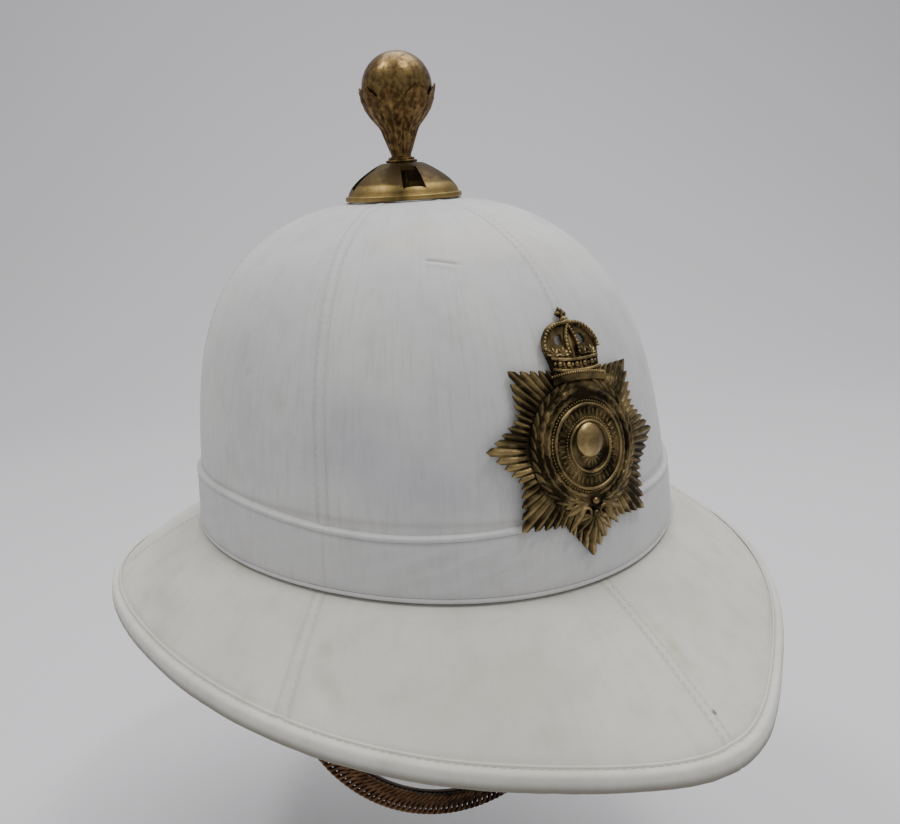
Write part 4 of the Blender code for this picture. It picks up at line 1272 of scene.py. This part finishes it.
def lay_palmette(shape):
    """A fan of petals and two scrolls that run down to the bottom point."""
    root = Vector((0, 0, -24.5 * MM))
    for k in range(7):
        heading = -math.pi / 2 + math.radians(24 * (k - 3))
        length = (12.5 - 1.5 * abs(k - 3)) * MM
        lay_leaf(shape, root, heading, length, 2.8 * MM, 1.7 * MM, 1.1 * MM)
    for sign in (-1, 1):
        line = []
        for j in range(26):
            a = 1.6 * math.pi * j / 25
            reach = 3.1 * MM * (1 - 0.028 * j)
            across = sign * (3.9 * MM + reach * math.cos(a))
            line.append(Vector((across, -2.6 * MM, -24.5 * MM + reach * math.sin(a))))
        rows = tube_rows(line, lambda s: 0.75 * MM * (1 - 0.5 * s), TOWARDS_EYE, 7)
        shape.grid(rows, 0.8, capped=True)
    lay_bead(shape, Vector((0, -2.6 * MM, -24.5 * MM)), 1.5 * MM)


# Half of the crest's outline, and one of its two openings, in mm from the plate's centre
CREST_OUTLINE = ((11.2, 27.6), (11.7, 31.0), (12.9, 35.6), (12.2, 39.6), (9.4, 43.2),
                 (5.4, 45.2), (2.2, 45.6))
CREST_OPENING = ((3.6, 37.5), (6.6, 37.8), (7.6, 39.4), (6.3, 41.4), (3.9, 41.6))
CREST_HALF = 11.3             # half the width of the crest's circlet


def crest_body(shape):
    """The cap of the crest, pierced on both sides of its middle arch."""
    flat = bmesh.new()
    right = smooth_line([(x * MM, z * MM) for x, z in CREST_OUTLINE], 4)
    hole = smooth_line([(x * MM, z * MM) for x, z in CREST_OPENING], 3)
    edges = []
    for loop in (right + [(-x, z) for x, z in reversed(right)], hole, [(-x, z) for x, z in hole]):
        corners = [flat.verts.new((x, 0, z)) for x, z in loop]
        for a, b in zip(corners, corners[1:] + corners[:1]):
            edges.append(flat.edges.new((a, b)))
    filled = bmesh.ops.triangle_fill(flat, use_beauty=True, edges=edges)
    faces = [f for f in filled["geom"] if isinstance(f, bmesh.types.BMFace)]
    grown = bmesh.ops.extrude_face_region(flat, geom=faces)
    moved = [v for v in grown["geom"] if isinstance(v, bmesh.types.BMVert)]
    bmesh.ops.translate(flat, verts=moved, vec=(0, -1.5 * MM, 0))
    flat.verts.index_update()
    shape.add([v.co.copy() for v in flat.verts], [[v.index for v in f.verts] for f in flat.faces], 0.15)
    flat.free()


def lay_arch(shape, line, size, beads):
    """A rounded arch with pearls along it."""
    spots = [Vector((x * MM, -1.6 * MM, z * MM)) for x, z in smooth_line(line, 8)]
    shape.grid(tube_rows(spots, size, TOWARDS_EYE, 8), 0.35, capped=True)
    for k in range(beads):
        place = (len(spots) - 1) * (k + 0.5) / beads
        spot = spots[int(place)].lerp(spots[int(place) + 1], place % 1)
        lay_bead(shape, spot + Vector((0, -size * 0.75, 0)), 0.62 * MM, 0.9)


def lay_crest(shape):
    """The crest with its pearled arches, its jewelled circlet and the small cross on a ball."""
    crest_body(shape)
    for sign in (-1, 1):
        side = [(sign * x, z) for x, z in CREST_OUTLINE[2:]]
        lay_arch(shape, side + [(0.0, 46.2)], 1.15 * MM, 15)
        middle = [(sign * 2.3, 34.0), (sign * 2.6, 38.0), (sign * 1.5, 42.2), (0.0, 45.0)]
        lay_arch(shape, middle, 0.8 * MM, 9)
        for x in (4.6, 9.2):
            for k in range(5):
                heading = math.pi / 2 + math.radians(38 * (k - 2))
                root = Vector((sign * x * MM, 0, 33.4 * MM))
                lay_leaf(shape, root, heading, 3.6 * MM, 1.5 * MM, 1.4 * MM, 0.8 * MM)
    for low, high in ((27.7, 28.6), (31.8, 32.7)):
        line = []
        for j in range(25):
            x = blend(-CREST_HALF, CREST_HALF, j / 24)
            line.append(Vector((x * MM, -1.9 * MM, blend(low, high, (x / CREST_HALF) ** 2) * MM)))
        shape.grid(tube_rows(line, 0.6 * MM, TOWARDS_EYE, 8), 0.85, capped=True)
    for k in range(11):
        x = blend(-9.8, 9.8, k / 10)
        size = 1.15 * MM if k % 2 else 0.75 * MM
        lay_bead(shape, Vector((x * MM, -1.5 * MM, (30.0 + 0.9 * (x / CREST_HALF) ** 2) * MM)), size, 0.8)
    lay_bead(shape, Vector((0, -1.2 * MM, 47.0 * MM)), 1.7 * MM, 0.9, 12)
    for k in range(4):
        root = Vector((0, 0, 49.8 * MM))
        lay_leaf(shape, root, k * math.pi / 2, 3.0 * MM, 2.9 * MM, 0.7 * MM, 1.0 * MM)


def star_plate(metal):
    shape = Shape()
    for lay in (lay_star, lay_wreath, lay_ring, lay_boss, lay_ribbon, lay_palmette, lay_crest):
        lay(shape)
    shape.points = [on_crown(p) for p in shape.points]
    return shape.piece("star_plate", metal, "plate_brass", ("helmet_plate",), sharp=45.0)


# Chin strap

def strap_half_width():
    inside = CROWN_HALF_WIDTH - CROWN_WALL
    return inside - WALL_CLEARANCE - CHAIN_THICKNESS - GAP - LEATHER_THICKNESS / 2


def strap_straight():
    return (STRAP_LENGTH - math.pi * strap_half_width()) / 2


def strap_frame(distance, outward):
    """A spot of the strap at a distance along a line that lies outward of its leather's middle."""
    radius = strap_half_width()
    straight = strap_straight()
    bend = math.pi * (radius + outward)
    a = clamp((distance - straight) / bend) * math.pi
    if distance < straight:
        down = distance
    elif distance > straight + bend:
        down = 2 * straight + bend - distance
    else:
        down = straight
    fore = Vector((0, -math.sin(STRAP_LEAN), -math.cos(STRAP_LEAN)))
    back = Vector((0, math.cos(STRAP_LEAN), -math.sin(STRAP_LEAN)))
    out = Vector((-math.cos(a), 0, 0)) + fore * math.sin(a)
    roll = STRAP_ROLL * math.sin(a)
    face = out * math.cos(roll) - back * math.sin(roll)
    spot = Vector((0, STRAP_PLACE, STRAP_TOP)) + fore * down + out * radius + face * outward
    along = Vector((math.sin(a), 0, 0)) + fore * math.cos(a)
    return spot, along, face


def strap_total(outward):
    return 2 * strap_straight() + math.pi * (strap_half_width() + outward)


# The leather's face across, in shares of its half width and half thickness
LEATHER_FACE = ((-1.0, 0.0), (-0.97, 0.6), (-0.9, 0.95), (-0.8, 0.8), (-0.7, 1.0), (0.0, 1.0),
                (0.7, 1.0), (0.8, 0.8), (0.9, 0.95), (0.97, 0.6), (1.0, 0.0))


def strap_leather(leather):
    """A strip with rounded edges, a creased line near each and a soft end."""
    shape = Shape()
    half = STRAP_WIDTH / 2
    section = [(across * half, outward * (LEATHER_THICKNESS / 2)) for across, outward in LEATHER_FACE]
    section += [(-x, -o) for x, o in section[1:-1]]
    rows = []
    wear = []
    steps = 190
    for j in range(steps + 1):
        distance = STRAP_LENGTH * j / steps
        spot, along, out = strap_frame(distance, 0.0)
        aside = along.cross(out)
        end = min(distance, STRAP_LENGTH - distance)
        narrow = 1 - 0.35 * bell(end / (2.2 * MM))
        rows.append([spot + aside * (x * narrow) + out * o for x, o in section])
        wear.append([abs(x) / half for x, o in section])
    shape.grid(rows, wear, capped=True)
    return shape.piece("chin_strap_leather", leather, "strap_leather", ("strap_leather",))


LINK_PITCH = 2.8 * MM
LINK_WIRE = 0.84 * MM        # the wire's radius
LINK_REACH = 0.88            # half a link's length over the pitch: links pass through each other
LINK_TWIST = 0.84 * MM
LINK_SQUARE = 0.62           # how flat a link's sides are pressed: 1 is an oval
LINK_RUB_AND_HIGHLIGHT = (0.08, 0.85)     # how bright the chain is painted: little rubbed in its middle, and towards the wearer's right a painted highlight


def squared(share):
    return math.copysign(abs(share) ** LINK_SQUARE, share)


def chain_links(metal):
    """A flat curb chain: each link is a twisted ring that passes through both its neighbours."""
    shape = Shape()
    outward = LEATHER_THICKNESS / 2 + GAP + CHAIN_THICKNESS / 2
    run = strap_total(outward) - 2 * STRAP_TAB
    count = round(run / LINK_PITCH)
    pitch = run / count
    half_length = LINK_REACH * pitch
    half_width = CHAIN_WIDTH / 2 - LINK_WIRE
    segments = 26
    for k in range(count):
        spot, along, out = strap_frame(STRAP_TAB + pitch * (k + 0.5), outward)
        aside = along.cross(out)
        line = []
        for i in range(segments):
            a = FULL_TURN * i / segments
            line.append(spot + along * (half_length * squared(math.cos(a)))
                        + aside * (half_width * squared(math.sin(a)))
                        + out * (LINK_TWIST * math.sin(2 * a)))
        rows = tube_rows(line, LINK_WIRE, out, 8, closed=True)
        # Brighter towards the wearer's right: a painted highlight.
        rubbed = blend(*LINK_RUB_AND_HIGHLIGHT, ease((-22 * MM - spot.x) / (30 * MM)))
        wear = [[clamp(rubbed + (p - spot).dot(out) / (2.4 * MM)) for p in row] for row in rows]
        shape.grid(rows, wear, closed_rows=True)
    return shape.piece("chin_chain_links", metal, "chain_brass", ("chin_chain",))


def strap_rivet(side, sign, metal):
    """A domed rivet at the strap's end, its collar against the crown's inner wall."""
    low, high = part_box(f"strap_rivet_{side}")
    spot = strap_frame(RIVET_BELOW_END, 0.0)[0]
    centre = Vector((0, spot.y, spot.z))
    inner = strap_half_width() - LEATHER_THICKNESS / 2 - GAP
    outer = inner + LEATHER_THICKNESS + 2 * GAP
    reach = max(abs(low.x), abs(high.x))
    collar = reach - RIVET_PAST_COLLAR
    profile = [(RIVET_POLE, inner - RIVET_RISE)]
    for k in range(1, 8):
        a = math.pi / 2 * (1 - k / 7)
        profile.append((RIVET_HEAD * math.cos(a), inner - RIVET_RISE * math.sin(a)))
    profile += [(RIVET_SHANK, inner), (RIVET_SHANK, outer), (RIVET_COLLAR, outer), (RIVET_COLLAR, collar)]
    profile += [(RIVET_SHANK, collar), (RIVET_SHANK, reach), (RIVET_POLE, reach)]
    segments = 28
    rows = []
    for radius, distance in profile:
        row = []
        for i in range(segments):
            a = FULL_TURN * i / segments
            row.append(centre + Vector((sign * distance, radius * math.cos(a), radius * math.sin(a))))
        rows.append(row)
    shape = Shape()
    shape.grid(rows, capped=True)
    return shape.piece(f"strap_rivet_head_{side}", metal, "finial_brass", (f"strap_rivet_{side}",))


# Materials

def head_coordinates(tree):
    """Place on the helmet in metres: its position, and its distance round the head, up and out."""
    place = add(tree, "TexCoord").outputs["Object"]
    xyz = add(tree, "SeparateXYZ", {0: place})
    forward = add(tree, "Math", {0: xyz.outputs["Y"], 1: -1.0}, operation="MULTIPLY")
    angle = add(tree, "Math", {0: xyz.outputs["X"], 1: forward.outputs[0]}, operation="ARCTAN2")
    arc = add(tree, "Math", {0: angle.outputs[0], 1: CROWN_HALF_WIDTH}, operation="MULTIPLY")
    flat = add(tree, "CombineXYZ", {0: xyz.outputs["X"], 1: xyz.outputs["Y"]})
    out = add(tree, "VectorMath", {0: flat.outputs[0]}, operation="LENGTH")
    return place, arc.outputs[0], xyz.outputs["Z"], out.outputs["Value"]


THREADS_SHOWN = 1.1 * MM     # threads are drawn this far apart, because the real 0.4 mm doesn't show
WAVE_SCALE = 0.31            # a wave texture's scale for bands 1 apart
SPECULAR = "Specular IOR Level"


def mottle(tree, place, size, detail=3.0, low=0.35, high=0.65):
    """A mask of soft blotches about as wide as size, from 0 to 1."""
    field = add(tree, "TexNoise", {"Vector": place, "Scale": 1 / size, "Detail": detail})
    return add(tree, "MapRange", {0: field.outputs[0], 1: low, 2: high}).outputs[0]


def tint(tree, colour, other, mask, amount):
    """Mixes a colour towards another by a mask."""
    share = add(tree, "Math", {0: mask, 1: amount}, operation="MULTIPLY", use_clamp=True)
    mixed = add(tree, "Mix", {0: share.outputs[0], 6: colour, 7: other}, data_type="RGBA")
    return mixed.outputs[2]


def stain(tree, place, colour, spot):
    """One stain with a ragged soft edge: its centre and its size in mm, its colour and how strong."""
    centre, size, code, amount = spot
    near = add(tree, "VectorMath", {0: place, 1: Vector(centre) * MM}, operation="SUBTRACT")
    scaled = [1 / (s * MM) for s in size]
    shared = add(tree, "VectorMath", {0: near.outputs[0], 1: scaled}, operation="MULTIPLY")
    away = add(tree, "VectorMath", {0: shared.outputs[0]}, operation="LENGTH")
    ragged = add(tree, "TexNoise", {"Vector": place, "Scale": 0.9 / (min(size) * MM), "Detail": 4.0})
    edge = add(tree, "Math", {0: ragged.outputs[0], 1: 1.5, 2: away.outputs["Value"]},
               operation="MULTIPLY_ADD")
    mask = add(tree, "MapRange", {0: edge.outputs[0], 1: 0.7, 2: 1.8, 3: 1.0, 4: 0.0},
               interpolation_type="SMOOTHSTEP")
    return tint(tree, colour, linear(code), mask.outputs[0], amount)


def cotton_drill(name, tone, shade, soil, spots, threads_up, relief, streaky):
    """Cotton drill, whitened by brush: matt, with faint streaks along its threads and a fine grain."""
    made, tree, shader = start_material(name, 0.92)
    shader.inputs[SPECULAR].default_value = 0.25
    shader.inputs["Sheen Weight"].default_value = 0.12
    shader.inputs["Sheen Roughness"].default_value = 0.5
    place, arc, up, out = head_coordinates(tree)
    cloth = add(tree, "CombineXYZ", {0: arc, 1: up if threads_up else out}).outputs[0]
    colour = add(tree, "Mix", {0: mottle(tree, place, 70 * MM), 6: linear(tone), 7: linear(shade)},
                 data_type="RGBA").outputs[2]
    dull = linear(soil)
    along = add(tree, "VectorMath", {0: cloth, 1: (1.0, 0.09, 1.0)}, operation="MULTIPLY").outputs[0]
    streaks = add(tree, "TexNoise", {"Vector": along, "Scale": 1 / (1.8 * MM), "Detail": 4.0})
    streak_mask = add(tree, "MapRange", {0: streaks.outputs[0], 1: 0.5, 2: 0.75})
    colour = tint(tree, colour, dull, streak_mask.outputs[0], streaky)
    across = add(tree, "VectorMath", {0: cloth, 1: (0.12, 1.0, 1.0)}, operation="MULTIPLY").outputs[0]
    cross = add(tree, "TexNoise", {"Vector": across, "Scale": 1 / (1.1 * MM), "Detail": 2.0})
    cross_mask = add(tree, "MapRange", {0: cross.outputs[0], 1: 0.5, 2: 0.8})
    colour = tint(tree, colour, dull, cross_mask.outputs[0], 0.12)
    colour = tint(tree, colour, dull, mottle(tree, place, 12 * MM, 7.0, 0.48, 0.8), 0.34)
    for spot in spots:
        colour = stain(tree, place, colour, spot)
    # Darker where the wear attribute is high: dirt and wear, with painted shade in grooves, seams, the
    # crease and under the binding's roll, and a painted shadow at the brim's foot.
    wear = add(tree, "Attribute", attribute_name="wear").outputs["Fac"]
    colour = tint(tree, colour, linear("#7d786b"), wear, 0.5)
    tree.links.new(colour, shader.inputs["Base Color"])
    warp, weft = (
        add(tree, "TexWave", {"Vector": cloth, "Scale": WAVE_SCALE / THREADS_SHOWN, "Distortion": 1.2,
                              "Detail": 1.0}, bands_direction=direction).outputs["Fac"]
        for direction in "XY")
    weave = add(tree, "Math", {0: weft, 1: 0.3, 2: warp}, operation="MULTIPLY_ADD")
    grain = add(tree, "Math", {0: weave.outputs[0], 1: 0.22, 2: streaks.outputs[0]},
                operation="MULTIPLY_ADD")
    bump = add(tree, "Bump", {"Height": grain.outputs[0], "Strength": relief, "Distance": 0.25 * MM})
    tree.links.new(bump.outputs[0], shader.inputs["Normal"])
    return made


def stitching_thread(name, code):
    """White cotton thread: matt and slightly brighter than the cloth."""
    made, tree, shader = start_material(name, 0.9)
    place = add(tree, "TexCoord").outputs["Object"]
    colour = tint(tree, linear(code), linear("#b3aea0"), mottle(tree, place, 6 * MM), 0.4)
    tree.links.new(colour, shader.inputs["Base Color"])
    return made


def brass(name, bright, tarnish, patch, rub_from, roughness, pitting, unrubbed=0.35):
    """Brass: bright where it is rubbed, brown where tarnish has grown, with fine pits.

    Patch is how wide the blotches of tarnish are, and unrubbed how bright untouched brass still is.
    """
    made, tree, shader = start_material(name, roughness, 1.0)
    place = add(tree, "TexCoord").outputs["Object"]
    wear = add(tree, "Attribute", attribute_name="wear").outputs["Fac"]
    cloud = mottle(tree, place, patch, 5.0, 0.38, 0.66)
    speck = mottle(tree, place, patch / 6, 4.0, 0.45, 0.75)
    rub = add(tree, "MapRange", {0: wear, 1: rub_from, 2: 1.0, 3: 0.0, 4: 1.0})
    rubbed = add(tree, "Math", {0: rub.outputs[0], 1: cloud}, operation="SUBTRACT")
    shown = add(tree, "Math", {0: rubbed.outputs[0], 1: 0.55, 2: unrubbed}, operation="MULTIPLY_ADD",
                use_clamp=True).outputs[0]
    colour = add(tree, "Mix", {0: shown, 6: linear(tarnish), 7: linear(bright)}, data_type="RGBA")
    colour = tint(tree, colour.outputs[2], linear(tarnish), speck, 0.35)
    tree.links.new(colour, shader.inputs["Base Color"])
    dull = add(tree, "MapRange", {0: shown, 3: roughness + 0.16, 4: roughness})
    tree.links.new(dull.outputs[0], shader.inputs["Roughness"])
    pits = add(tree, "TexNoise", {"Vector": place, "Scale": 1 / (0.9 * MM), "Detail": 5.0})
    bump = add(tree, "Bump", {"Height": pits.outputs[0], "Strength": pitting, "Distance": 0.2 * MM})
    tree.links.new(bump.outputs[0], shader.inputs["Normal"])
    return made


def bridle_leather(name):
    """Dark bridle leather: waxed face with a fine pebble grain, its cut edges dry and paler."""
    made, tree, shader = start_material(name, 0.5)
    place = add(tree, "TexCoord").outputs["Object"]
    cells = add(tree, "TexVoronoi", {"Vector": place, "Scale": 1 / (0.9 * MM)})
    colour = tint(tree, linear("#1e1511"), linear("#38281c"), mottle(tree, place, 8 * MM), 0.6)
    wear = add(tree, "Attribute", attribute_name="wear").outputs["Fac"]
    edge = add(tree, "MapRange", {0: wear, 1: 0.9, 2: 1.0})
    colour = tint(tree, colour, linear("#6b4c33"), edge.outputs[0], 0.5)
    tree.links.new(colour, shader.inputs["Base Color"])
    bump = add(tree, "Bump", {"Height": cells.outputs["Distance"], "Strength": 0.35, "Distance": 0.2 * MM})
    tree.links.new(bump.outputs[0], shader.inputs["Normal"])
    return made


# Stains: centre and size in mm, colour, strength

CROWN_STAINS = (
    ((-92.5, -14.0, 80.0), (6, 4, 3), "#9a9488", 0.3),
    ((-93.0, -8.0, 92.0), (8, 8, 20), "#b5b2a8", 0.4),
    ((-80.0, -60.0, 56.0), (26, 26, 26), "#b0b2bb", 0.32),
    ((-62.0, -84.0, 42.0), (30, 24, 18), "#b0b2bb", 0.32),
    ((-40.0, -96.0, 36.0), (34, 20, 10), "#b4b5bb", 0.35),
    ((-40.0, -48.0, 127.0), (24, 22, 10), "#d2ccba", 0.5),
    ((-14.0, -62.0, 124.0), (32, 26, 12), "#d8d4c6", 0.5),
    ((10.0, -70.0, 112.0), (14, 20, 16), "#d0cab8", 0.35),
)

BRIM_STAINS = (
    ((2.4, -163.6, -37.6), (1.3, 1.5, 1.9), "#3a1d18", 0.95),
    ((-100.8, -75.7, -12.1), (4, 7, 7), "#b0a67f", 0.26),
    ((-105.6, -84.7, -19.6), (5, 13, 10), "#b3ab86", 0.26),
    ((6.0, -141.5, -22.0), (5, 30, 14), "#b7af86", 0.36),
    ((30.0, -136.0, -19.0), (26, 22, 14), "#cfcbb4", 0.3),
    ((89.8, -81.7, -8.9), (14, 16, 9), "#c6c0a3", 0.35),
    ((-128.4, 8.2, -13.8), (7, 26, 12), "#b0aea1", 0.3),
    ((-136.2, -1.3, -20.6), (4, 14, 8), "#a7a596", 0.22),
    ((-131.2, 28.8, -17.9), (5, 9, 6), "#aaa798", 0.2),
    ((-70.0, -128.0, -24.0), (50, 26, 18), "#cbc8b6", 0.35),
    ((60.0, 150.0, -24.0), (50, 30, 20), "#cbc8b6", 0.4),
)


# Studio

def studio_sweep():
    """A pale paper sweep: a floor that curves up into the backdrop behind the helmet."""
    made, tree, shader = start_material("studio_paper", 0.95)
    shader.inputs[SPECULAR].default_value = 0.1
    shader.inputs["Base Color"].default_value = linear("#e1e1e5")
    away = Vector((-math.sin(AZIMUTH), math.cos(AZIMUTH), 0))
    side = Vector((math.cos(AZIMUTH), math.sin(AZIMUTH), 0))
    radius, floor_end, width, height = 0.9, 1.0, 4.0, 3.4
    line = [(-3.0, 0.0), (-1.0, 0.0), (floor_end - 0.5, 0.0)]
    for k in range(25):
        a = math.pi / 2 * k / 24
        line.append((floor_end + radius * math.sin(a), radius * (1 - math.cos(a))))
    line.append((floor_end + radius, height))
    mesh = bpy.data.meshes.new("studio_sweep")
    points = []
    for reach, rise in line:
        for across in (-width, width):
            spot = away * reach + side * across + Vector((0, 0, rise - FLOOR_BELOW))
            points.append(tuple(spot))
    faces = [(2 * k, 2 * k + 1, 2 * k + 3, 2 * k + 2) for k in range(len(line) - 1)]
    mesh.from_pydata(points, [], faces)
    mesh.shade_smooth()
    mesh.materials.append(made)
    sweep = bpy.data.objects.new("studio_sweep", mesh)
    bpy.context.scene.collection.objects.link(sweep)


def view_axes():
    """The camera's right, up and backward directions."""
    back = Vector((math.sin(AZIMUTH) * math.cos(ELEVATION), -math.cos(AZIMUTH) * math.cos(ELEVATION),
                   math.sin(ELEVATION)))
    level = Vector((math.cos(AZIMUTH), math.sin(AZIMUTH), 0))
    above = back.cross(level)
    right = level * math.cos(ROLL) + above * math.sin(ROLL)
    up = above * math.cos(ROLL) - level * math.sin(ROLL)
    return right, up, back


def camera():
    lens = bpy.data.cameras.new("camera")
    lens.lens = LENS_MM
    lens.sensor_width = SENSOR_MM
    lens.clip_start = 0.01
    made = bpy.data.objects.new("camera", lens)
    right, up, back = view_axes()
    turned = Matrix((right, up, back)).transposed().to_4x4()
    made.matrix_world = Matrix.Translation(AIM + back * DISTANCE) @ turned
    bpy.context.scene.collection.objects.link(made)
    bpy.context.scene.camera = made


def softbox(name, direction, distance, width, height, power):
    """A soft light, placed by its direction in the camera's right, up and backward axes."""
    right, up, back = view_axes()
    toward = (right * direction[0] + up * direction[1] + back * direction[2]).normalized()
    data = bpy.data.lights.new(name, "AREA")
    data.shape = "RECTANGLE"
    data.size = width
    data.size_y = height
    data.energy = power
    made = bpy.data.objects.new(name, data)
    made.location = AIM + toward * distance
    made.rotation_euler = toward.to_track_quat("Z", "Y").to_euler()
    bpy.context.scene.collection.objects.link(made)


def world_light(code, strength):
    world = bpy.data.worlds.new("studio_air")
    world.use_nodes = True
    background = world.node_tree.nodes["Background"]
    background.inputs["Color"].default_value = linear(code)
    background.inputs["Strength"].default_value = strength
    bpy.context.scene.world = world


def lights():
    softbox("overhead_softbox", (0.1, 1.0, -0.1), 1.5, 1.6, 1.2, 18.5)
    softbox("front_left_lamp", (-0.49, 0.81, 0.31), 1.3, 0.34, 0.16, 4.0)
    softbox("front_right_lamp", (0.29, 0.85, 0.445), 1.3, 0.34, 0.16, 4.0)
    world_light("#fbfaf9", 0.47)


def build():
    """Every piece with its material."""
    crown_cloth = cotton_drill("whitened_cotton_crown", "#d8d8d5", "#cccccf", "#aeada8", CROWN_STAINS,
                               threads_up=True, relief=0.35, streaky=0.3)
    brim_cloth = cotton_drill("whitened_cotton_brim", "#e2e1d9", "#d5d4cb", "#b9b6a4", BRIM_STAINS,
                              threads_up=False, relief=0.35, streaky=0.13)
    band_cotton = cotton_drill("whitened_cotton_band", "#d4d3d2", "#cbcbcc", "#b3b2ae", (),
                               threads_up=True, relief=0.25, streaky=0.22)
    crown_thread = stitching_thread("crown_thread", "#d6d5d0")
    brim_thread = stitching_thread("brim_thread", "#d4d3c8")
    polished = brass("polished_brass_finial", "#a88d59", "#52402a", 2.2 * MM, 0.0, 0.26, 0.4)
    # The dome's wear values paint a reflection on its low flank and shade on its top.
    domed = brass("tarnished_brass_dome", "#c8aa69", "#483b26", 17 * MM, 0.0, 0.4, 0.3, unrubbed=0.12)
    leafy = brass("cast_brass_leaves", "#a68654", "#4c3923", 2.6 * MM, 0.3, 0.32, 0.6)
    dark = brass("stamped_brass_plate", "#bda471", "#2b2417", 9 * MM, 0.52, 0.3, 0.35)
    links = brass("curb_chain_brass", "#77593f", "#261914", 4 * MM, 0.4, 0.36, 0.25)
    leather = bridle_leather("bridle_leather")
    crown_cover(crown_cloth)
    crown_stitches(crown_thread)
    band_cloth(band_cotton)
    piping("lower_piping_cord", "band_bottom_piping", band_foot, -1, band_cotton)
    piping("upper_piping_cord", "band_top_piping", band_top, 1, band_cotton)
    brim_cover(brim_cloth)
    brim_stitches(brim_thread)
    brim_binding(brim_cloth)
    binding_stitches(brim_thread)
    vent_dome(domed)
    leaf_cup(leafy)
    finial_ball(polished)
    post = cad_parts["finial_post"]
    post.data.materials.clear()
    post.data.materials.append(polished)
    star_plate(dark)
    strap_leather(leather)
    chain_links(links)
    strap_rivet("left", 1, polished)
    strap_rivet("right", -1, polished)


build()
studio_sweep()
camera()
lights()
